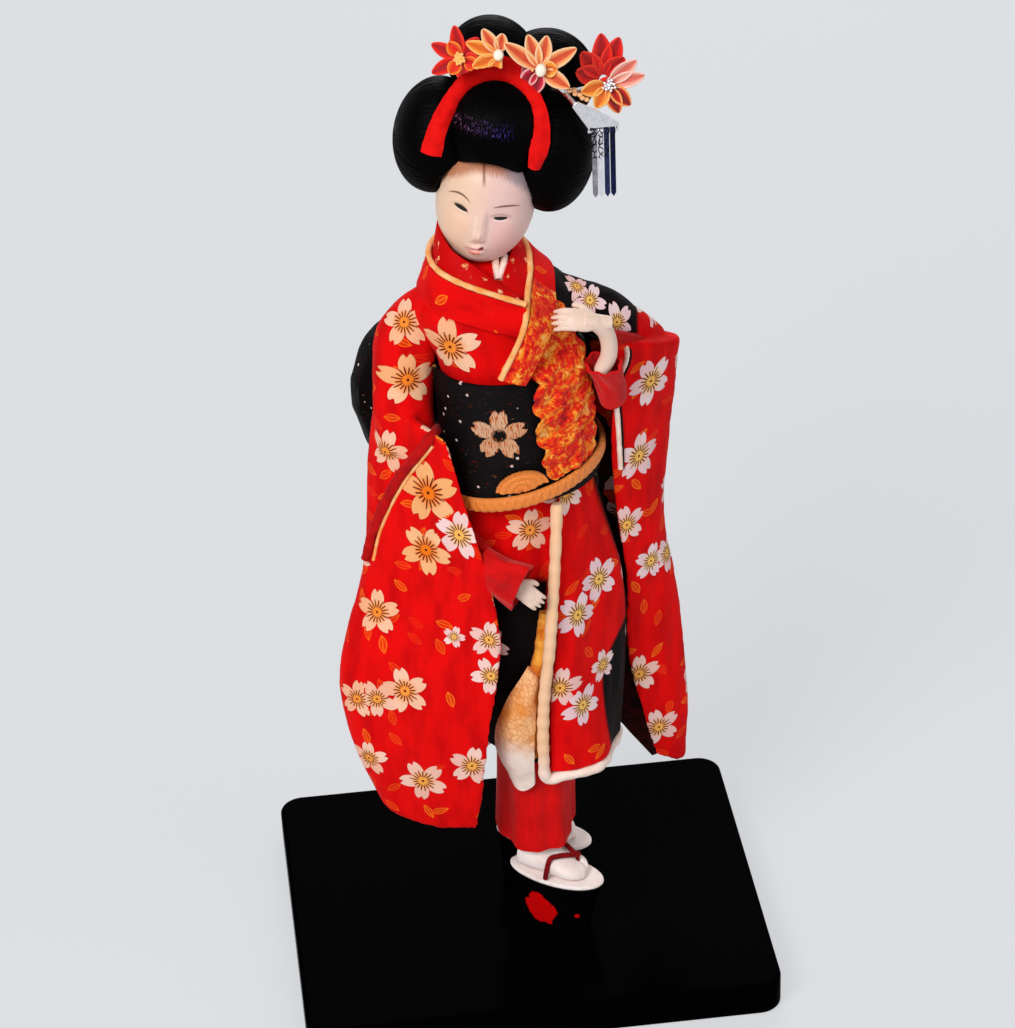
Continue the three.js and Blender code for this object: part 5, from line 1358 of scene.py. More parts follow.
def build_flap():
    """The corner of the skirt's lining that is folded out in front."""
    def edge(height, lag, out):
        front = float(along(FRONT_EDGE, max(height, SKIRT_HEM)))
        return on_body(math.radians(front - lag), height, out)

    right = [edge(98, 10, 0.6), edge(80, 11, 1.2), edge(64, 12, 1.6), edge(47, 14, 0)]
    left = [edge(102, 18, 0), edge(84, 34, 1.5), edge(64, 44, 2), edge(48, 36, 0)]
    v = np.linspace(0, 1, 90)
    u = np.linspace(0, 1, 60)[None, :, None]
    points = mixed(spline(left, v)[:, None], spline(right, v)[:, None], u)
    swell = 3.2 * np.sin(np.pi * u[..., 0]) * np.sin(np.pi * np.minimum(1, v[:, None] * 1.1))
    points[..., 1] -= swell
    points[..., 2] -= 4 * np.sin(np.pi * u[..., 0]) * v[:, None]
    points += normals(points) * folds(points, 8, (0.6, (5, 5, 14)), (0.25, 2.5))[..., None]
    thick = 1.2 + 1.8 * np.sin(np.pi * u[..., 0]) + 0 * v[:, None]
    made = Piece("lining_corner").shell(points, thick, NETTED)
    made = made.build(replaces="skirt_lining_flap", slot="lining")
    sheet(made, points, "folded", "skirt_cloth")


# Bodice, collars and sash


def build_bodice():
    """The printed cloth round the chest, closed in towards the neck."""
    a = circle(320)[None]
    h = np.linspace(WAIST + 1, NECK_BASE, 110)[:, None]
    out = -0.5 + folds(stacked(a * 26, h, 0 * h), 11, (0.4, (9, 14, 1)), (0.15, (4, 6, 1)))
    points = on_body(a - np.pi, h, out)
    closing = []
    for k in np.linspace(0.05, 1, 14):
        ring = points[-1].copy()
        flat = (ring - NECK)[:, :2]
        ring[:, :2] = NECK[:2] + mixed(flat, unit(flat) * NECK_REACH, k)
        ring[:, 2] += 2.5 * math.sin(k * 1.4)
        closing.append(ring)
    points = np.concatenate([points, np.array(closing)])
    made = Piece("bodice_cloth").shell(points, 1.0, PRINTED, PLAIN_RED, wrap=True)
    made = made.build(replaces="kimono_bodice", slot="kimono_silk")
    return made


# Lines of the collars, from the nape round to the front: each layer's top, its piped edge and its foot
INNER_RIGHT_TOP = [(-4, 13, 266), (-15.5, 8.5, 268), (-20.2, -1, 268.5), (-17.3, -12, 264),
                   (-10, -18.5, 259.5), (-3, -21.8, 254), (4, -24.5, 249.8)]
PIPED_RIGHT = [(-4, 16.5, 259), (-17, 10.5, 258.5), (-22.6, -1, 257), (-21, -13.5, 256),
               (-14.2, -21.5, 254.5), (-5.6, -25, 251.7), (5.6, -27.5, 247.5)]
LOWER_RIGHT = [(-4, 16.5, 247.5), (-20.5, 12, 246.5), (-28.2, -3, 246), (-24.5, -18.5, 244),
               (-15, -25, 242), (-4.5, -28, 239), (6, -29.5, 236)]
INNER_LEFT_TOP = [(-4, 13, 266), (3, 11, 264), (6.4, 3, 261), (3.6, -8, 257), (0.2, -16, 254),
                  (-1, -20.5, 250)]
PIPED_LEFT = [(-4, 16.5, 259), (5, 13.5, 257), (9.5, 4, 254.5), (9.7, -9, 252), (7.9, -19.5, 248.5),
              (6.2, -28.8, 243.5), (4, -31.4, 237.4), (-2.8, -33, 223)]
LOWER_LEFT = [(-4, 16.5, 247.5), (12, 14, 247.5), (17.6, 3, 248), (17.6, -11, 246), (16.4, -20.5, 241),
              (14, -26.5, 235.8), (10.4, -30.4, 230.3), (4.2, -33, 219.8)]
NECK, NECK_REACH = np.array([-3.0, -1.0, 0.0]), 7.2
COLLAR_THICK, PIPING_LIFT, COLLAR_OUT, COLLAR_FRONT = 1.4, 1.5, 1.9, 72


def pushed(points, amount):
    """Points moved straight away from the neck."""
    p = np.asarray(points, float)
    return p + unit((p - NECK) * [1, 1, 0]) * amount


def collar(kind, side, upper, lower, material, slot, seed, front=None):
    """One side of a collar; its front end may have its own silk."""
    v = np.linspace(0, 1, 150)
    u = np.linspace(0, 1, 26)[None, :, None]
    points = mixed(spline(upper, v)[:, None], spline(lower, v)[:, None], u)
    points[..., 1] -= 0.8 * np.sin(np.pi * u[..., 0])
    points = lifted(points)
    points += normals(points) * folds(points, seed, (0.22, 7), (0.1, 3))[..., None]
    made = Piece("%s_cloth_%s" % (kind, side)).shell(points[:COLLAR_FRONT], COLLAR_THICK * 0.85, material)
    made.shell(points[COLLAR_FRONT - 1 :], COLLAR_THICK * 0.85, front or material)
    made = made.build(replaces="%s_%s" % (kind, side), slot=slot)
    return sheet(made, points, "folded", "bodice_cloth")


def build_collars():
    out_right, out_left = pushed(PIPED_RIGHT, COLLAR_OUT), pushed(PIPED_LEFT, COLLAR_OUT)
    low_right, low_left = pushed(LOWER_RIGHT, 0.6), pushed(LOWER_LEFT, 0.9)
    inner_left_low = PIPED_LEFT[: len(INNER_LEFT_TOP)]
    inner = [collar("inner_collar", "right", INNER_RIGHT_TOP, PIPED_RIGHT, EMBROIDERED, "under_silk", 21),
             collar("inner_collar", "left", INNER_LEFT_TOP, inner_left_low, EMBROIDERED, "under_silk", 22)]
    outer = [collar("collar", "right", out_right, low_right, PRINTED, "kimono_silk", 23),
             collar("collar", "left", out_left, low_left, PRINTED, "kimono_silk", 24, CRINKLED)]
    for side, points, lower in (("right", PIPED_RIGHT, LOWER_RIGHT), ("left", PIPED_LEFT, LOWER_LEFT)):
        path = pushed(points, COLLAR_OUT + 0.3)
        path = path + unit(path - pushed(lower, COLLAR_OUT)) * PIPING_LIFT
        path = lifted(even(path[1:], 120))
        radius = 1.05 * (1 + 0.08 * wobble(np.linspace(0, 1, 120) * 30, 6))
        piping = Piece("piping_" + side).tube(path, radius, PEACH_SILK)
        piping.build(replaces="collar_piping_" + side, slot="piping")
    return inner, outer


def band_points(rows, sides=300):
    """A band round the body. A row is (its height as a function of the angle, how far out it lies)."""
    a = circle(sides)[None]
    return np.concatenate([on_body(a, height(a), out + 0 * a) for height, out in rows])


def build_sash():
    """The broad sash, with soft creases."""
    count = 60
    t = np.linspace(0, 1, count)
    rows = []
    for k in t:
        bulge = SASH_OUTSIDE - 0.6 * abs(2 * k - 1) ** 3
        rows.append((lambda a, k=k: SASH_LOW + (SASH_TOP - SASH_LOW) * k + 0 * a, bulge - 0.35))
    points = band_points(rows)
    height = points[..., 2]
    a = circle(300)[None]
    crease = 0.35 * np.sin(height * 0.5 + 2 * np.sin(a * 2)) * bell(np.sin(a * 1.5), 0.8)
    crease = crease + folds(points, 31, (0.2, (12, 12, 4)))
    points = points + normals(points, True) * crease[..., None] * -1
    made = Piece("sash_cloth").shell(points, 1.2, BROCADE, wrap=True)
    made = made.build(replaces="sash_band", slot="sash")
    return made


def build_cord():
    """The cord round the sash, plaited of slanting strands."""
    a = circle(720)[None]
    t = circle(28)[:, None]
    across = np.cos(t) * CORD_HEIGHT / 2
    deep = CORD_INSIDE + CORD_THICK / 2 + np.sin(t) * CORD_THICK / 2
    turns = 62
    weave = np.maximum(np.sin(a * turns + np.cos(t) * 2.6), np.sin(a * turns - np.cos(t) * 2.6))
    swell = 0.22 * weave * (np.sin(t) > -0.2)
    points = on_body(a, cord_middle(a) + across, deep + swell)
    points = np.concatenate([points, points[:1]])
    made = Piece("cord_braid").grid(points, BRAID, wrap=True)
    made.build(replaces="sash_cord", slot="cord")


def build_arch():
    """The ribbed half round of cord over the sash's middle."""
    u = np.linspace(0, 1, 110)[None]
    v = np.linspace(0, 1, 44)[:, None]
    a = np.pi * (0.04 + 0.92 * u)
    reach = 0.04 + 0.96 * v
    angle = math.radians(-26) - np.cos(a) * 0.32 * reach
    foot = cord_middle(angle) + CORD_HEIGHT / 2 + SEAT + 1
    ridge = 0.55 * np.abs(np.sin(v * np.pi * 3.5)) + 0.12 * np.sin(u * 120 + v * 9)
    points = on_body(angle, foot + 7.5 * np.sin(a) * reach, CORD_INSIDE + 1.0 + ridge)
    Piece("cord_arch").shell(points, 1.3, BRAID).build(replaces="sash_cord_arch", slot="cord")


def build_silk_fall():
    """The crinkled silk that falls from the collar over the sash."""
    thick, top = 2, 243
    u = np.linspace(0, 1, 130)[None]
    v = np.linspace(0, 1, 260)[:, None]
    middle = mixed(0.42, 0.26, v)
    half = mixed(0.2, 0.45, np.sin(np.pi * np.minimum(1, v * 0.85)))
    scallop = 0.07 * np.abs(np.sin(v * np.pi * 5)) + 0.02 * np.sin(v * 60)
    angle = middle + (u - 0.5) * 2 * (half + scallop)
    bottom = cord_middle(angle) + CORD_HEIGHT / 2 + SEAT + 1
    height = mixed(top, bottom, v)
    over = ease(SASH_TOP + 9 - height, 0, 8) * SASH_OUTSIDE
    place = stacked(u * 26, v * 60, 0 * u)
    crinkle = folds(place, 41, (0.9, (5, 4, 1)), (0.5, (2.2, 1.8, 1)), (0.22, (1.1, 0.9, 1)))
    points = on_body(angle, height, over + thick / 2 + 0.7 + crinkle)
    made = Piece("crinkled_fall").shell(points, 0.9, CRINKLED)
    made = made.build(replaces="crinkled_silk", slot="crinkled_silk")
    sheet(made, points, "gathered", "sash_cloth")


# The bow and its tails

BOW_HEIGHT, BOW_HALF, BOW_WAIST, KNOT_HALF, KNOT_RADIUS, KNOT_TALL = 198, 47, 4.5, 7, 8.2, 17
TAIL_END = 76
# Rows of a wing from the middle out: share of its length, how far it reaches down and up, and its depth
BOW_FORM = [(0, 12, 12, BOW_WAIST), (0.19, 12.5, 12.5, BOW_WAIST), (0.36, 25, 22, 7), (0.62, 32, 27, 7.5),
            (0.86, 26, 22, 6), (1, 6, 8, 3)]


def behind(points):
    """Points of the bow, set on the back of the sash."""
    x, y, _ = on_body(np.array(np.pi), np.array(float(BOW_HEIGHT)), SASH_OUTSIDE + KNOT_RADIUS + SEAT)
    return set_down(points, x, y, float(along(BODY, BOW_HEIGHT, 5)))


def puff_rings(x, deep, low, high, sides, square=0.55):
    """Rings across the bow, each with its place, depth, foot and top; square rounds their corners off."""
    a = circle(sides)[None]

    def swell(k):
        return np.sign(k) * np.abs(k) ** square

    x, deep, low, high = (np.asarray(w, float)[:, None] for w in (x, deep, low, high))
    return stacked(x, deep * swell(np.cos(a)), (low + high) / 2 + (high - low) / 2 * swell(np.sin(a)))


def build_wings():
    """The bow's two wings, which fan out from the knot."""
    s = np.linspace(-1, 1, 160)
    size = np.abs(s)
    points = puff_rings(s * BOW_HALF, along(BOW_FORM, size, 3), BOW_HEIGHT - along(BOW_FORM, size, 1),
                        BOW_HEIGHT + along(BOW_FORM, size, 2), 150)
    fan = np.arctan2(points[..., 2] - BOW_HEIGHT, size[:, None] * BOW_HALF + 4)
    fan = 0.9 * np.sin(fan * 15) * ease(size, 0.08, 0.3)[:, None] * bell(size - 0.35, 0.4)[:, None]
    turn = normals(points, True)
    points = behind(points - turn * (fan + folds(points, 51, (0.5, 10), (0.2, 4)))[..., None] * 0.8)
    made = blob(Piece("bow_cloth"), points, BROCADE).build(replaces="bow_wings", slot="sash")
    return made


def build_knot():
    """The roll across the bow's middle."""
    t = np.linspace(-1, 1, 40)
    size = np.where(np.abs(t) > 0.85, 1 - 0.2 * (np.abs(t) - 0.85) / 0.15, 1.0)
    tall = KNOT_TALL * size
    knot = puff_rings(t * KNOT_HALF, KNOT_RADIUS * size, BOW_HEIGHT - tall, BOW_HEIGHT + tall, 90, 0.7)
    knot = behind(knot + normals(knot, True) * (0.35 * np.sin(t * 9)[:, None] * -1)[..., None])
    made = blob(Piece("bow_knot_cloth"), knot, BROCADE).build(replaces="bow_knot", slot="sash")
    return made


def build_tail(name, side):
    """One end of the bow, which hangs from under the knot."""
    u = np.linspace(0, 1, 60)[None]
    v = np.linspace(0, 1, 170)[:, None]
    x = side * (1.5 + (u * 19 + 1) * (1 + 0.12 * v))
    y = 1 + 3.5 * np.sin(v * 2) + 0.8 * np.sin(u * 5 + v * 4) + 0.35 * np.sin(u * 13 + v * 6)
    z = mixed(BOW_HEIGHT - KNOT_TALL + 3, TAIL_END, v) - 3 * u
    points = behind(stacked(x, y, z))
    made = Piece("tail_cloth_" + name).shell(points, 1.6, BROCADE)
    made = made.build(replaces="bow_tail_" + name, slot="sash")
    return sheet(made, points, "hung", "bow_knot_cloth")


# Sleeves, cuffs and hands

def steps(start, *moves):
    """Points given by how far they lie from a start."""
    return [tuple(np.add(start, move)) for move in moves]


def limb_rings(points, radii, count=60, sides=48, more=0.0):
    """Rings along a curve, whose half width and half height come from rows of (share, across, up)."""
    middle = even(points, count)
    t = np.linspace(0, 1, count)
    ahead = unit(np.gradient(middle, axis=0))
    side = unit(np.cross([0, 0, 1.0], ahead))
    up = unit(np.cross(ahead, side))
    a = circle(sides)[None, :, None]
    wide, tall = (along(radii, t, k)[:, None, None] + more for k in (1, 2))
    return lifted(middle[:, None] + side[:, None] * np.cos(a) * wide + up[:, None] * np.sin(a) * tall)


def drop_points(armpit, elbow, wrist, swing, across=90, down=150):
    """A long sleeve folded over the bent arm: it hangs from the armpit, the elbow and the wrist."""
    v = np.linspace(0, 1, down)
    start, bend, end = (spline(w, v)[:, None] for w in (armpit, elbow, wrist))
    bend = bend * 2 - start / 2 - end / 2
    u, v = np.linspace(0, 1, across)[None], v[:, None]
    share = u[..., None]
    out = unit(np.stack([(end - start)[..., 1], -(end - start)[..., 0], 0 * start[..., 2]], -1))
    points = start * (1 - share) ** 2 + bend * 2 * share * (1 - share) + end * share**2
    wavy = swing * np.sin(u * 13 + v * 1.5) * ease(v, 0.05, 0.5)
    hang = np.sin(np.pi * np.clip((u - 0.35) / 0.65, 0, 1))
    points = points + out * wavy[..., None]
    points[..., 2] -= 6 * hang * ease(v, 0.7, 1)
    edge = np.minimum(1, 0.35 + 4 * np.minimum(u, 1 - u))
    foot = np.minimum(1, 0.4 + 6 * (1 - v))
    return lifted(points), 5 * edge * foot


# Each sleeve: three lines that it hangs in, from the top down, and the tube round the upper arm
SLEEVES = {
    "right": {
        "armpit": steps(SHOULDER_RIGHT, (-4, 5, -18), (-7, 8, -64), (-11, 8, -110), (-15, 5, -150),
                        (-13, 1, -186)),
        "elbow": steps(ELBOW_RIGHT, (-6, 5, 27), (-10, 3, -4), (-13.5, -3, -45), (-25.5, -11, -91),
                       (-15, -15, -138)),
        "wrist": steps(WRIST_RIGHT, (-19, 7, 54), (-10, 0, 18), (-3, -3, -22), (-8, -3, -66),
                       (-14, 2, -111)),
        "upper": [*steps(SHOULDER_RIGHT, (4, 1, 3), (-8, 0, -7), (-12, -2, -28)),
                  *steps(ELBOW_RIGHT, (1, -1, 2))],
        "radii": [(0, 9, 9), (0.35, 11, 11), (1, 10.5, 10.5)],
        "swing": 0.9, "seed": 61, "across": [0.85, -0.52, 0], "flat": (0.084, 0.195),
    },
    "left": {
        "armpit": steps(SHOULDER_LEFT, (10, 9, -11), (11, 12, -54), (13, 14, -99), (12, 16, -139),
                        (11, 17, -170)),
        "elbow": steps(ELBOW_LEFT, (7.5, 0, 3), (3.5, 2, -36), (2, 2, -76), (8, 2, -121), (8.5, 1, -172)),
        "wrist": steps(WRIST_LEFT, (3, 2, -4), (1.5, 7, -55), (7, 11, -105), (8, 14, -147), (18, 20, -196)),
        "upper": [*steps(SHOULDER_LEFT, (-10, 1, 8), (12, 2, -2)), ELBOW_LEFT],
        "radii": [(0, 9, 10.5), (0.6, 9, 9), (1, 6.5, 6.5)],
        "swing": 0.8, "seed": 71, "across": [0.8, 0.6, 0], "flat": (0.062, 0.2),
    },
}


def build_sleeve(side):
    """A long sleeve and the tube round the upper arm, grown into one cloth and wrinkled."""
    form = SLEEVES[side]
    points, thick = drop_points(form["armpit"], form["elbow"], form["wrist"], form["swing"])
    sleeve = Piece("sleeve_cloth_" + side).shell(points, thick * 0.92, PRINTED)
    blob(sleeve, limb_rings(form["upper"], form["radii"]), PRINTED)
    sleeve = fused(sleeve.build(replaces="sleeve_" + side, slot="kimono_silk"), 0.85, 14)
    wrinkles = [(0.75, (9, 9, 30)), (0.35, (4.5, 4.5, 12)), (0.14, 2.5)]
    moved(sleeve, lambda p, n: n * folds(p, form["seed"], *wrinkles)[:, None])
    flat_uv(sleeve, unit(np.array(form["across"])))
    return sleeve


def build_cuff(side, path, mouth):
    """The red under-sleeve's end: pleats that grow towards its mouth."""
    radii = [(0, 5, 6), (0.6, 6, 0.85 * mouth), (1, 7.4, mouth)]
    t = np.linspace(0, 1, 70)[:, None, None]
    pleat = 0.5 * np.sin(circle(120)[None, :, None] * 7 + t * 3) * t
    points = limb_rings(path, radii, 70, 120, pleat - 0.5)
    made = Piece("cuff_cloth_" + side).shell(points, 0.9, PLAIN_RED, wrap=True)
    made = made.build(replaces="cuff_" + side, slot="under_silk")
    sheet(made, points, "gathered", "arm_" + side, wrap=True)


def build_hand(side, curl, mirror, start, toward, roll, size=1.0, bent=()):
    """A plaster hand of four fingers and a thumb; a bent forearm is a tube along its own points."""
    hand = Piece("hand_skin_" + side)
    blob(hand, sphere((4, 0, 0), (5.4, 3.6, 1.9), 40, 24), PLASTER)
    for i in (-1, 0, 1, 2):
        y = (i - 0.5) * 1.75
        long = 5.2 - 0.7 * abs(i - 0.4)
        tip = (8 + long, y * 1.05, -curl * 2.4)
        path = even([(6.0, y, 0), (8.6 + long * 0.3, y * 1.02, -curl * 0.5), tip], 26)
        taper = 0.98 * (1 - 0.28 * np.linspace(0, 1, 26)) * np.sqrt(1 - np.linspace(0, 0.98, 26) ** 8)
        blob(hand, tube_rings(path, taper, 16), PLASTER)
    thumb = even([(2, -2.6, 0), (4.5, -4.4, -0.6), (7.2, -4.9, -1.4)], 20)
    blob(hand, tube_rings(thumb, 0.95 * np.sqrt(1 - np.linspace(0, 0.98, 20) ** 8), 16), PLASTER)
    wrist = [(-5, 0, 0), (-3, 0, 0), (0, 0, 0), (3, 0, 0)]
    blob(hand, tube_rings(even(wrist, 20), np.linspace(2.0, 2.6, 20), 20, 0.75), PLASTER)
    x = unit(np.array(toward, float))
    y = unit(np.cross([0, 0, 1.0], x))
    z = np.cross(x, y)
    c, s = math.cos(math.radians(roll)), math.sin(math.radians(roll))
    spin = np.array([[1, 0, 0], [0, c, -s], [0, s, c]])
    basis = np.stack([x, y, z], 1)
    for k, points in enumerate(hand.points):
        if mirror:
            points = points * [1, -1, 1]
        hand.points[k] = lifted(points * size @ spin.T @ basis.T + np.array(start))
    if bent:
        hand.tube(lifted(even(bent, 24)), np.linspace(2.9, 3.1, 24), PLASTER, 20)
    made = hand.build(replaces="hand_" + side, slot="plaster")
    return fused(made, 0.22, 3)


# Head, hair and ornaments

HEAD_TURN, HEAD_LEAN, HEAD_NOD = -12, 10, -5
FACE_WIDE, FACE_TALL, FACE_DEEP = 17.4, 20.5, 17.5
FACE_WIDTHS = [(-1, 0.25), (-0.9, 0.5), (-0.73, 0.7), (-0.49, 0.87), (-0.2, 0.97), (0.15, 1), (0.44, 0.99),
               (0.68, 0.91), (0.88, 0.71), (1, 0.4)]


def head_matrix():
    turns = ((HEAD_TURN, "Z"), (HEAD_LEAN, "Y"), (HEAD_NOD, "X"))
    turn, lean, nod = (Matrix.Rotation(math.radians(a), 3, axis) for a, axis in turns)
    return np.array(turn @ lean @ nod)


HEAD_TURNED = head_matrix()
HEAD_SPOT = lifted([-3.5, -1, 276])


def on_head(points):
    return np.asarray(points, float) @ HEAD_TURNED.T + HEAD_SPOT


def face_points(angle, z):
    """The head's surface at an angle from its front and a height, with the face raised on it."""
    wide = along(FACE_WIDTHS, z / FACE_TALL) * FACE_WIDE
    x = wide * np.sin(angle)
    front = np.cos(angle) > 0
    share = wide / FACE_WIDE
    round_it = np.where(front, FACE_DEEP * share**0.75, (FACE_DEEP - 1) * share)
    y = -round_it * np.cos(angle)
    nose = 1.9 * bell(x, 1.5) * bell(z + 6.9, 1.7) + 0.8 * bell(x, 1.5) * bell(z + 2.2, 4)
    wings = 0.6 * bell(np.abs(x) - 1.7, 0.7) * bell(z + 8, 0.8)
    lips = 0.9 * bell(x, 2.6) * bell(z + 11.6, 0.85) + 0.95 * bell(x, 2.2) * bell(z + 13.6, 0.9)
    mouth = 0.5 * bell(x, 3.6) * bell(z + 12.4, 3.4) - 0.35 * bell(x, 2.4) * bell(z + 12.6, 0.35)
    groove = -0.35 * bell(x, 0.7) * bell(z + 9.6, 1.1)
    chin = 1.1 * bell(x, 4) * bell(z + 16.8, 2.4)
    socket = -0.9 * bell(np.abs(x) - 6.4, 3.2) * bell(z - 1.0, 2.6)
    lid = 0.45 * bell(np.abs(x) - 6.6, 2.6) * bell(z - 1.6, 1.1)
    cheek = 0.5 * bell(np.abs(x) - 9, 4.5) * bell(z + 6.5, 4.5)
    y = y - np.where(front, nose + wings + lips + mouth + groove + chin + socket + lid + cheek, 0)
    return stacked(x, y, z + 0 * x)


def build_head():
    """The painted head on its neck, with points closer together round the face."""
    even_angle = np.linspace(-np.pi, np.pi, 260, endpoint=False)[None]
    angle = even_angle - 0.45 * np.sin(even_angle)
    z = np.concatenate([np.linspace(-1, 0.6, 200), np.linspace(0.62, 1, 20)])[:, None] * FACE_TALL
    local = face_points(angle, z)
    head = Piece("head_skin")
    closed = np.concatenate([local, local[:, :1]], 1)
    head.grid(on_head(local), FACE, wrap=True, uv=closed[..., [0, 2]])
    head.cap(on_head(local[0]), FACE).cap(on_head(local[-1]), FACE)
    a = circle(80)[None]
    h = np.linspace(248.2, 268, 30)[:, None]
    r = 5.6 + 1.2 * bell(h - 268, 6) + 0 * a
    neck = lifted(stacked(-3 + r * np.cos(a), -1 + r * np.sin(a), h))
    blob(head, neck, FACE)
    made = head.build("head", "head", "plaster")
    copy_layer(made.data, "face")


HAIR_LUMPS = {
    "front": ((0, -2.5, 27.5), (17.5, 16, 17.5)),
    "back": ((0, 12, 15), (19, 14, 18)),
    "bun_right": ((-6, 13, 47), (15.5, 14, 15)),
    "bun_left": ((14, 12, 44), (17, 15, 17)),
    "side_right": ((-20.5, 3, 20), (14.8, 16.7, 20.7)),
    "side_left": ((20.5, 3, 20), (14.5, 16.3, 20.7)),
}
HAIRLINE_WIDE, HAIRLINE_HIGH, HAIRLINE_MIDDLE, HAIRLINE_BACK = 17.5, 20.2, -0.5, -7


def off_forehead(points):
    """Hair in front of the hairline moves out to it, which is an oval arch over the forehead."""
    x, y, z = points[..., 0] - HAIRLINE_MIDDLE, points[..., 1], points[..., 2]
    reach = np.hypot(x / HAIRLINE_WIDE, z / HAIRLINE_HIGH)
    inside = (reach < 1) & (y < HAIRLINE_BACK)
    out = np.where(inside, 1 / np.maximum(reach, 0.05), 1)
    return np.stack([x * out + HAIRLINE_MIDDLE, y, z * out], -1)


def lump(key, pole, grooves, depth=0.16, seed=0):
    """A rounded roll of combed hair. The strands run from pole to pole, which lie along an axis."""
    centre, radii = HAIR_LUMPS[key]
    a = circle(200)[None]
    b = np.linspace(0.015, np.pi - 0.015, 110)[:, None]
    strands = np.abs(np.sin(a * grooves + 1.5 * np.sin(b * 2))) ** 3
    groove = 1 - depth / 15 * (strands + 0.6 * noise(stacked(a * 22, b * 1.2, 0 * a), seed))
    first, second, ahead = np.cos(a) * np.sin(b), np.sin(a) * np.sin(b), np.cos(b)
    local = stacked(ahead, first, second) if pole == "x" else stacked(first, second, ahead)
    return local * groove[..., None] * np.array(radii) + np.array(centre)


def build_hair():
    """The rolls of hair, each piece made of one or two lumps."""
    parts = {
        "hair_roll_front": (["front"], "hair_front", "z", 40),
        "hair_back_roll": (["back"], "hair_back", "z", 40),
        "hair_top": (["bun_right", "bun_left"], "hair_topknot", "x", 34),
        "hair_wing_right": (["side_right"], "hair_side_right", "x", 30),
        "hair_wing_left": (["side_left"], "hair_side_left", "x", 30),
    }
    made = []
    for k, (name, (keys, node, pole, grooves)) in enumerate(parts.items()):
        roll = Piece(name)
        for key in keys:
            points = lump(key, pole, grooves, seed=80 + k)
            if not key.startswith("bun"):
                points = off_forehead(points)
            blob(roll, on_head(points), HAIR_FRONT if key == "front" else HAIR)
        made.append(roll.build("head", node, "hair"))
    return made


RIBBON_PIXELS = [(431, 154), (436.5, 132), (446, 110), (461.5, 88), (479, 74), (493, 69), (511, 74),
                 (529, 92), (538.5, 115), (540.5, 140), (534, 168)]
RIBBON_HALF = [(0, 3.6), (0.2, 2.9), (0.36, 3.3), (0.5, 5.2), (0.62, 3.4), (0.8, 3.1), (0.93, 2.9), (1, 1.6)]


def ribbon_middle(hair):
    """The ribbon's middle line in the head's own mm: the photograph's pixels, just off the hair."""
    spots, _ = on_pixels(hair, RIBBON_PIXELS, 260)
    local = (spots - HEAD_SPOT) @ HEAD_TURNED
    v = np.linspace(0, 1, len(local))
    smooth = np.polyval(np.polyfit(v, local[:, 1], 4), v)
    way = EYE @ HEAD_TURNED - HEAD_SPOT @ HEAD_TURNED - local
    step = (smooth - 1.6 - local[:, 1]) / way[:, 1]
    return local + way * step[:, None]


def build_ribbon(middle):
    v = np.linspace(0, 1, len(middle))
    u = np.linspace(0, 1, 40)[None]
    ahead = np.gradient(middle, axis=0)
    across = unit(np.stack([ahead[:, 2], 0 * v, -ahead[:, 0]], 1))
    half = along(RIBBON_HALF, v, 1) + 0.12 * wobble(v * 50, 5)
    points = middle[:, None] + across[:, None] * ((u - 0.5) * 2 * half[:, None])[..., None]
    points[..., 1] -= 1.4 * np.sin(np.pi * u)
    points += normals(points) * folds(points, 91, (0.12, 3.2), (0.06, 1.4))[..., None]
    made = Piece("ribbon_cloth").shell(on_head(points), 0.9, RIBBON_RED)
    made = made.build("head", "hair_ribbon", "ribbon")
    sheet(made, points, "laid", "hair_roll_front", least=0.0101)


def petal_points(angle, reach, width, cup, curl=1.2, start=1.3):
    """A folded petal: a loop of cloth whose sides rise round a hollow, with a pointed tip."""
    v = np.linspace(0, 1, 26)[:, None]
    u = np.linspace(-1, 1, 21)[None]
    out = start + v * reach + 0 * u
    shape = np.sin(np.pi * np.clip(0.05 + 0.95 * v**0.9, 0, 1)) ** 0.7
    side = u * width * shape
    rim = np.abs(u) ** 1.8
    depth = -cup * v**1.6 - curl * rim * shape
    c, s = math.cos(angle), math.sin(angle)
    points = np.stack([out * c - side * s, depth + 0 * u, out * s + side * c], -1)
    return points, stacked(u, v)


def behind_ribbon(points):
    """Petals bend back to pass behind the ribbon."""
    middle = RIBBON_MIDDLE[::3]
    away = np.hypot(points[..., None, 0] - middle[:, 0], points[..., None, 2] - middle[:, 2])
    back = middle[away.argmin(-1), 1] + 2
    share = 1 - ease(away.min(-1), 4.2, 5.6)
    return points + np.stack([0 * back, share * np.maximum(back - points[..., 1], 0), 0 * back], -1)


def flower(name, slot, spot, petals, width, cup, turn_z, tilt_x, heart):
    """A silk flower facing -Y. A petal is its degrees round the middle, its reach and its silk."""
    made = Piece("silk_flower_" + name)
    for degrees, reach, look in petals:
        points, uv = petal_points(math.radians(degrees), reach, width, cup)
        made.shell(points, 0.5, look, uv=uv)
    for centre, radii, look in heart:
        blob(made, sphere(centre, radii, 20, 13), look)
    turn = Matrix.Rotation(math.radians(turn_z), 3, "Z") @ Matrix.Rotation(math.radians(tilt_x), 3, "X")
    local = [p @ np.array(turn).T + np.array(spot, float) for p in made.points]
    made.points = [on_head(behind_ribbon(p)) for p in local]
    made = made.build("head", "flower_" + name, slot)
    copy_layer(made.data, "petal")
    flat_uv(made, (1, 0, 0))


def bead_heart(look, count, size, spread, deep=-2.3):
    """Small beads in a spiral round a flower's middle."""
    turns = [(k * 2.4, spread * math.sqrt(k)) for k in range(count)]
    spots = [(r * math.cos(a), deep + 0.12 * r, r * math.sin(a)) for a, r in turns]
    return [(spot, (size, size, size), look) for spot in spots]


def in_silk(look, *petals):
    """Petals of one silk, each given as (degrees, reach)."""
    return [(degrees, reach, look) for degrees, reach in petals]


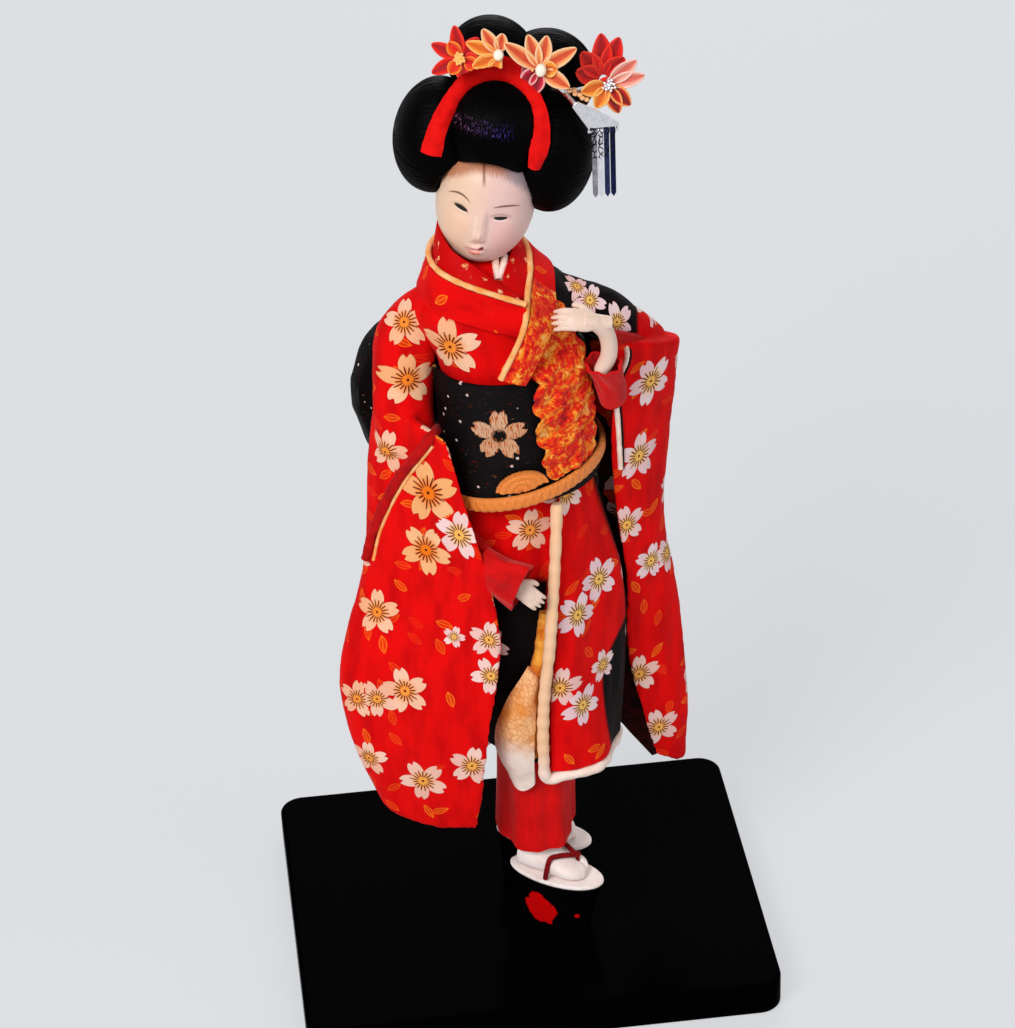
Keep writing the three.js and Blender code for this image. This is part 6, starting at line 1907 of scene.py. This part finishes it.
def build_flowers():
    red = in_silk(PETAL_RED, (114, 10), (169, 10), (221, 10), (60, 8.5), (295, 6.5), (10, 6))
    red += in_silk(PETAL_ORANGE, (140, 5.5), (250, 5), (350, 7))
    peach = [(133, 9, PETAL_PEACH), (170, 10.5, PETAL_GOLD), (215, 8.5, PETAL_GOLD), (90, 6, PETAL_PEACH),
             (262, 5.5, PETAL_GOLD)]
    main = in_silk(PETAL_PEACH, (150, 14.2), (117, 11.5), (86, 10.5), (37, 13), (335, 10.5))
    main += in_silk(PETAL_CRIMSON, (262, 7), (220, 7)) + in_silk(PETAL_GOLD, (10, 4.5))
    side_red = in_silk(PETAL_RED, (103, 15.5), (80, 14.5), (136, 12), (167, 9.5), (58, 9))
    side_pink = in_silk(PETAL_PINK, (50, 11.5), (22, 11.5)) + in_silk(PETAL_GOLD, (246, 7.5))
    side_pink += in_silk(PETAL_DARK_GOLD, (297, 9), (324, 9)) + in_silk(PETAL_GOLD, (198, 8.5))
    main_heart = [((0, -2.6, 0), (1.9, 1.8, 2.3), PEARL)] + bead_heart(PETAL_GOLD, 5, 0.5, 1.3, -1.4)
    flower("red", "petal_red", (-15.2, -9, 53.2), red, 2.4, 2, -18, -14,
           bead_heart(PETAL_GOLD, 16, 0.6, 0.5))
    flower("peach", "petal_peach", (-2.8, -11.5, 57.5), peach, 2.3, 1.5, -4, -18,
           [((0, -2.2, 0), (1.8, 1.6, 2.0), PEARL)])
    flower("main", "petal_peach", (11.5, -12, 55), main, 2.7, 1.8, 10, -14, main_heart)
    flower("side_red", "petal_red", (33.2, 2, 50.5), side_red, 3.6, 3, 14, -6,
           bead_heart(PETAL_RED, 6, 0.6, 0.5))
    flower("side_pink", "petal_peach", (35.1, -3, 50.5), side_pink, 2.8, 2.4, 12, -8,
           bead_heart(SILVER, 14, 0.55, 0.62))


TWIG_BEADS = [(19.3, 49.2), (20.6, 50.1), (21.2, 48.6), (22.6, 47.9), (24.1, 48.3), (24.6, 47.1),
              (26.2, 46.9), (27.3, 46.0), (28.9, 45.6)]


def build_twig():
    """Beads along a thread between the flowers, by their places across and up on the head."""
    twig = Piece("bead_twig")
    for k, (x, z) in enumerate(TWIG_BEADS):
        blob(twig, on_head(sphere((x, -8 - 0.3 * (k % 2), z), (0.95, 0.8, 0.85), 16, 11)), BEAD_THREAD)
    twig.tube(on_head(even([(x, -7.6, z) for x, z in TWIG_BEADS], 30)), 0.3, BEAD_THREAD, 8)
    twig.build("head", slot="petal_peach")


# Put together

build_board()
for side in ("right", "left"):
    build_foot(side)
build_underskirt()
skirt = build_skirt()
build_roll()
build_flap()
bodice = build_bodice()
inner_collars, outer_collars = build_collars()
sash = build_sash()
build_cord()
build_arch()
build_silk_fall()
bow = [build_wings(), build_knot()]
tails = [build_tail("right", -1), build_tail("left", 1)]
sleeve_right, sleeve_left = build_sleeve("right"), build_sleeve("left")
build_cuff("right", steps(WRIST_RIGHT, (-9, 5, 5), (-2, 0, 0), (5, -4, -3)), 9.6)
build_cuff("left", steps(WRIST_LEFT, (2, 3, -26), (0, -2, -16), (-2.5, -5, -8)), 5.2)
palm_right, = steps(WRIST_RIGHT, (2.6, -1.8, -2.4))
palm_left, = steps(WRIST_LEFT, (-5.5, -11, 12.3))
forearm = steps(WRIST_LEFT, (-3, -5, -11), (-0.5, -7, -3), (-1.8, -9, 6.5), (-6, -10.8, 11.8),
                (-10, -11.4, 13.2))
build_hand("right", 0.9, True, palm_right, (0.72, -0.35, -0.6), 60)
build_hand("left", 1.6, False, palm_left, (-0.95, -0.08, 0.22), -50, 1.15, forearm)
build_head()
RIBBON_MIDDLE = ribbon_middle(tree_of(*build_hair()))
build_ribbon(RIBBON_MIDDLE)
build_flowers()
build_twig()

# The blossoms that the photograph shows on each cloth: pixel, radius in mm, tone from pink to peach, turn
RIGHT_SLEEVE_BLOSSOMS = [
    (408, 380, 10.5, 0.9, 0.3), (439, 344, 13, 1.0, 0.9), (385, 452, 9, 0.7, 0.1), (428, 493, 13, 1.0, 0.5),
    (426, 550, 10.5, 1.0, 1.1), (459, 535, 10, 0.2, 0.2), (377, 612, 9, 0.8, 0.4), (454, 637, 4.5, 0.2, 0.0),
    (405, 691, 9.5, 0.7, 0.6), (357, 699, 8, 0.7, 0.2), (377, 699, 8, 0.6, 0.9), (369, 758, 8, 0.6, 0.3),
    (423, 781, 9.5, 0.5, 0.8), (472, 766, 9, 0.4, 0.1), (489, 640, 8, 0.3, 0.2), (491, 676, 8, 0.3, 0.8),
    (404, 322, 9, 0.8, 0.5),
]
SKIRT_BLOSSOMS = [
    (566, 493, 9, 0.3, 0.6), (530, 530, 9, 0.6, 0.2), (599, 579, 9.5, 0.0, 0.5), (578, 615, 9.5, 0.0, 1.0),
    (603, 665, 7, 0.1, 0.4), (583, 705, 9, 0.0, 0.9), (560, 688, 9, 0.3, 0.1),
]
LEFT_SLEEVE_BLOSSOMS = [
    (651, 381, 10.5, 0.1, 0.7), (639, 456, 10, 0.1, 0.2), (627, 525, 8.5, 0.2, 0.5), (651, 561, 8, 0.0, 0.1),
    (667, 553, 8, 0.1, 0.9), (639, 674, 9, 0.4, 0.3), (659, 727, 9, 0.3, 0.6), (617, 322, 7.5, 0.0, 0.4),
    (664, 322, 9, 0.8, 0.1), (590, 300, 7, 0.0, 0.7), (577, 286, 6, 0.2, 0.1),
]
BODICE_BLOSSOMS = [(450, 347, 12, 0.8, 0.4), (585, 288, 7, 0.0, 0.2), (546, 259, 5, 0.3, 0.2),
                   (564, 271, 6, 0.0, 0.6)]
SASH_BLOSSOMS = [(499, 436, 10.5, 0.6, 0.3)]

# Narrow folds along pixels of the photograph
ROLLED_EDGE = [(446, 404), (429.5, 439.6), (398, 480), (375, 530), (368, 558)]
ROLLED_PIPING = [(433, 446), (403, 485), (381, 530), (374, 560)]
LINING_FOLD = [(619, 337), (627, 350), (624, 365), (617, 380), (616, 400), (618, 430), (620, 468)]
LINING_SHADE = [(623, 338), (631, 351), (628, 366), (621, 381), (620, 401), (622, 430), (623, 468)]
UNDER_COLLARS = [[(505, 256), (503, 268), (499, 280)], [(495, 259), (496, 269), (498, 280)]]
ORANGE_FOLD = [(546, 610), (541, 650), (533, 700), (533, 752)]
ORANGE_SILK = make_cloth("orange_lining", rgb(244, 170, 66), rgb(206, 100, 18), size=5)
# Near-black silk for painted shade.
PAINTED_SHADE_SILK = make_cloth("painted_shade_silk", rgb(60, 4, 8), rgb(14, 4, 6), size=5)
FOLD_RED = make_cloth("fold_red", rgb(196, 6, 8), rgb(160, 3, 6), size=6)

laid("sleeve_rolled_edge", tree_of(sleeve_right), ROLLED_EDGE, 1.9, FOLD_RED, "kimono_silk")
laid("sleeve_piping", tree_of(sleeve_right), ROLLED_PIPING, 0.6, PEACH_SILK, "piping")
laid("sleeve_lining_fold", tree_of(sleeve_left, bodice), LINING_FOLD, 0.95, WHITE_SILK, "lining", 30)
laid("sleeve_lining_shade", tree_of(sleeve_left, bodice), LINING_SHADE, 0.5, PAINTED_SHADE_SILK, "lining", 30)
laid("orange_fold", tree_of(skirt), ORANGE_FOLD, 2.8, ORANGE_SILK, "lining")
chest = tree_of(bodice, *inner_collars, *outer_collars)
for k, rows in enumerate(UNDER_COLLARS):
    laid("under_collar_%d" % (k + 1), chest, rows, 1.25, WHITE_SILK, "under_silk")

# The left sleeve's inner layer, made dark as painted shade: pixels of its two edges, and how deep it hangs,
# in mm
SHADE_LEFT_EDGE = [(574, 328), (583, 355), (592, 420), (600, 500), (606, 560), (606, 640), (603, 697),
                   (626, 727), (652, 755)]
SHADE_RIGHT_EDGE = [(610, 326), (614, 352), (626, 420), (640, 500), (644, 560), (648, 640), (650, 697),
                    (655, 727), (660, 752)]
SHADE_DEEP = 12


def on_plane(rows, deep):
    """Points where the photograph's pixels meet the upright plane at this depth in mm."""
    way = np.array([ray(x, y) for x, y, _ in even([(x, y, 0) for x, y in rows], 90)])
    return EYE + way * ((deep - EYE[1]) / way[:, 1])[:, None]


def build_sleeve_shade():
    """The layer that shows along the left sleeve, dark with painted shade."""
    u = np.linspace(0, 1, 40)[None, :, None]
    left, right = (on_plane(edge, SHADE_DEEP)[:, None] for edge in (SHADE_LEFT_EDGE, SHADE_RIGHT_EDGE))
    points = mixed(left, right, u)
    points += normals(points) * folds(points, 121, (0.8, (6, 6, 30)), (0.2, 4))[..., None]
    made = Piece("sleeve_shade_left").shell(points, 0.9, PAINTED_SHADE_SILK).build(slot="lining")
    sheet(made, points, "hung", "sleeve_cloth_left")


build_sleeve_shade()

# Painted shade, where the photograph shows black: the ground is painted black over the tucked panel, the
# skirt's far side and one shoulder
TUCKED_EDGE = [(545, 552), (600, 548), (690, 541), (760, 544)]
FAR_EDGE = [(500, 606), (545, 619), (570, 625), (600, 626), (620, 622), (642, 612), (665, 602), (700, 602),
            (770, 614)]
TUCKED_TOP, SHOULDER_START, SHOULDER_END, SHOULDER_LOW = 575, 549, 640, 343


def skirt_shade(points):
    x, y = pixels(points)
    front = 1 - ease(points[:, 1], 4, 8)
    tucked = ease(along(TUCKED_EDGE, y) - x, 0, 3) * ease(y, TUCKED_TOP, TUCKED_TOP + 8)
    side = ease(points[:, 1], -14, -8) * ease(points[:, 0], 6, 12)
    return np.maximum(np.maximum(tucked, ease(x - along(FAR_EDGE, y), 0, 3)) * front, side)


def shoulder_shade(points):
    x, y = pixels(points)
    across = ease(x, SHOULDER_START, SHOULDER_START + 5) * (1 - ease(x, SHOULDER_END - 4, SHOULDER_END))
    return across * (1 - ease(y, SHOULDER_LOW - 5, SHOULDER_LOW))


paint_shade(skirt, skirt_shade)
paint_shade(sleeve_left, shoulder_shade)
paint_shade(bodice, shoulder_shade)

cloths = [sleeve_right, sleeve_left, skirt, bodice, sash]
everything = tree_of(*cloths)


def hidden(centre, turn):
    """True where the photograph doesn't see the cloth."""
    way = centre - EYE
    far = np.linalg.norm(way)
    if way @ turn > 0:
        return True
    *_, reach = everything.ray_cast(Vector(EYE * MM), Vector(way / far))
    return reach is not None and reach / MM < far - 3


def print_on(made, rows, spacing, radius, tone, seed):
    spots = seen_spots(tree_of(made), rows)
    stamp(made, scattered(made, spots, spacing, radius, tone, seed, hidden))


print_on(sleeve_right, RIGHT_SLEEVE_BLOSSOMS, 24, 9.5, 0.7, 101)
print_on(sleeve_left, LEFT_SLEEVE_BLOSSOMS, 24, 9.5, 0.2, 102)
print_on(skirt, SKIRT_BLOSSOMS, 24, 9.5, 0.3, 103)
print_on(bodice, BODICE_BLOSSOMS, 24, 9.5, 0.5, 104)
for k, made in enumerate(outer_collars):
    stamp(made, scattered(made, [], 26, 6, 0.4, 105 + k, hidden))
print_on(sash, SASH_BLOSSOMS, 30, 9.5, 0.6, 107)
for made in bow:
    stamp(made, [])
for k, made in enumerate(tails):
    stamp(made, scattered(made, [], 30, 9, 0.6, 112 + k))


def dress(starts, look):
    """Gives a look to the frame's own nodes whose names start so."""
    for node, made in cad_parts.items():
        if node.startswith(starts):
            made.data.materials.clear()
            made.data.materials.append(look)


dress(("torso", "neck_peg", "leg"), WOOD)
dress("arm", FOLD_RED)
dress("support_pin", STEEL)
dress("ornament", SILVER)
for k, look in enumerate(SILVER_DROPS):
    dress("silver_drop_%d" % (k + 1), look)


# Studio

FLOOR_HALF, FLOOR_LOW = 4.0, 0.0002
FLOOR_SHOWN, WORLD_LIGHT = 0.72, 0.33
FLOOR_GREY, BACK_GREY, WORLD_GREY = rgb(214, 216, 219), rgb(223, 225, 228), rgb(236, 238, 242)
# Each lamp: its place and side in metres, and its power in watts
LAMPS = {
    "key": ((-1.0, -1.3, 1.5), 0.9, 34),
    "fill": ((1.2, -0.9, 0.9), 1.2, 6),
    "back": ((0.3, 1.4, 1.2), 1.0, 13),
}
LAMPS_AIM = (0, 0, 0.2)


def to_viewer(n, direct):
    """1 for a mirrored ray, and the given share for one straight from the camera."""
    seen = n.node("LightPath", out="Is Camera Ray")
    return n.math("MAXIMUM", seen * direct, n.node("LightPath", out="Is Glossy Ray"))


def build_floor():
    n = Material("studio_floor")
    n.tree.nodes.remove(n.shader)
    base = n.node("BsdfDiffuse", FLOOR_GREY)
    plain = n.node("Emission", BACK_GREY, 1.0)
    both = n.node("MixShader", to_viewer(n, FLOOR_SHOWN), base, plain)
    n.put(n.tree.nodes["Material Output"].inputs[0], both)
    mesh = bpy.data.meshes.new("floor")
    corners = [(x * FLOOR_HALF, y * FLOOR_HALF, 0) for x, y in ((-1, -1), (1, -1), (1, 1), (-1, 1))]
    mesh.from_pydata(corners, [], [(0, 1, 2, 3)])
    mesh.materials.append(n.material)
    floor = shown("floor", mesh)
    floor.location.z = -FLOOR_LOW


def build_lamps():
    for name, (place, side, power) in LAMPS.items():
        data = bpy.data.lights.new(name, "AREA")
        data.size, data.energy = side, power
        made = shown(name, data)
        made.location = place
        made.rotation_euler = (Vector(LAMPS_AIM) - Vector(place)).to_track_quat("-Z", "Y").to_euler()


def build_world():
    world = bpy.data.worlds.new("studio")
    bpy.context.scene.world = world
    world.use_nodes = True
    n = Nodes(world.node_tree)
    back = n.tree.nodes["Background"]
    n.put(back.inputs["Color"], BACK_GREY)
    n.put(back.inputs["Strength"], 1.0)
    soft = n.node("Background", WORLD_GREY, WORLD_LIGHT)
    both = n.node("MixShader", to_viewer(n, 1.0), soft, Value(n, back.outputs[0]))
    n.put(n.tree.nodes["World Output"].inputs[0], both)


build_floor()
build_world()
build_lamps()
bpy.context.scene.view_settings.view_transform = "Standard"
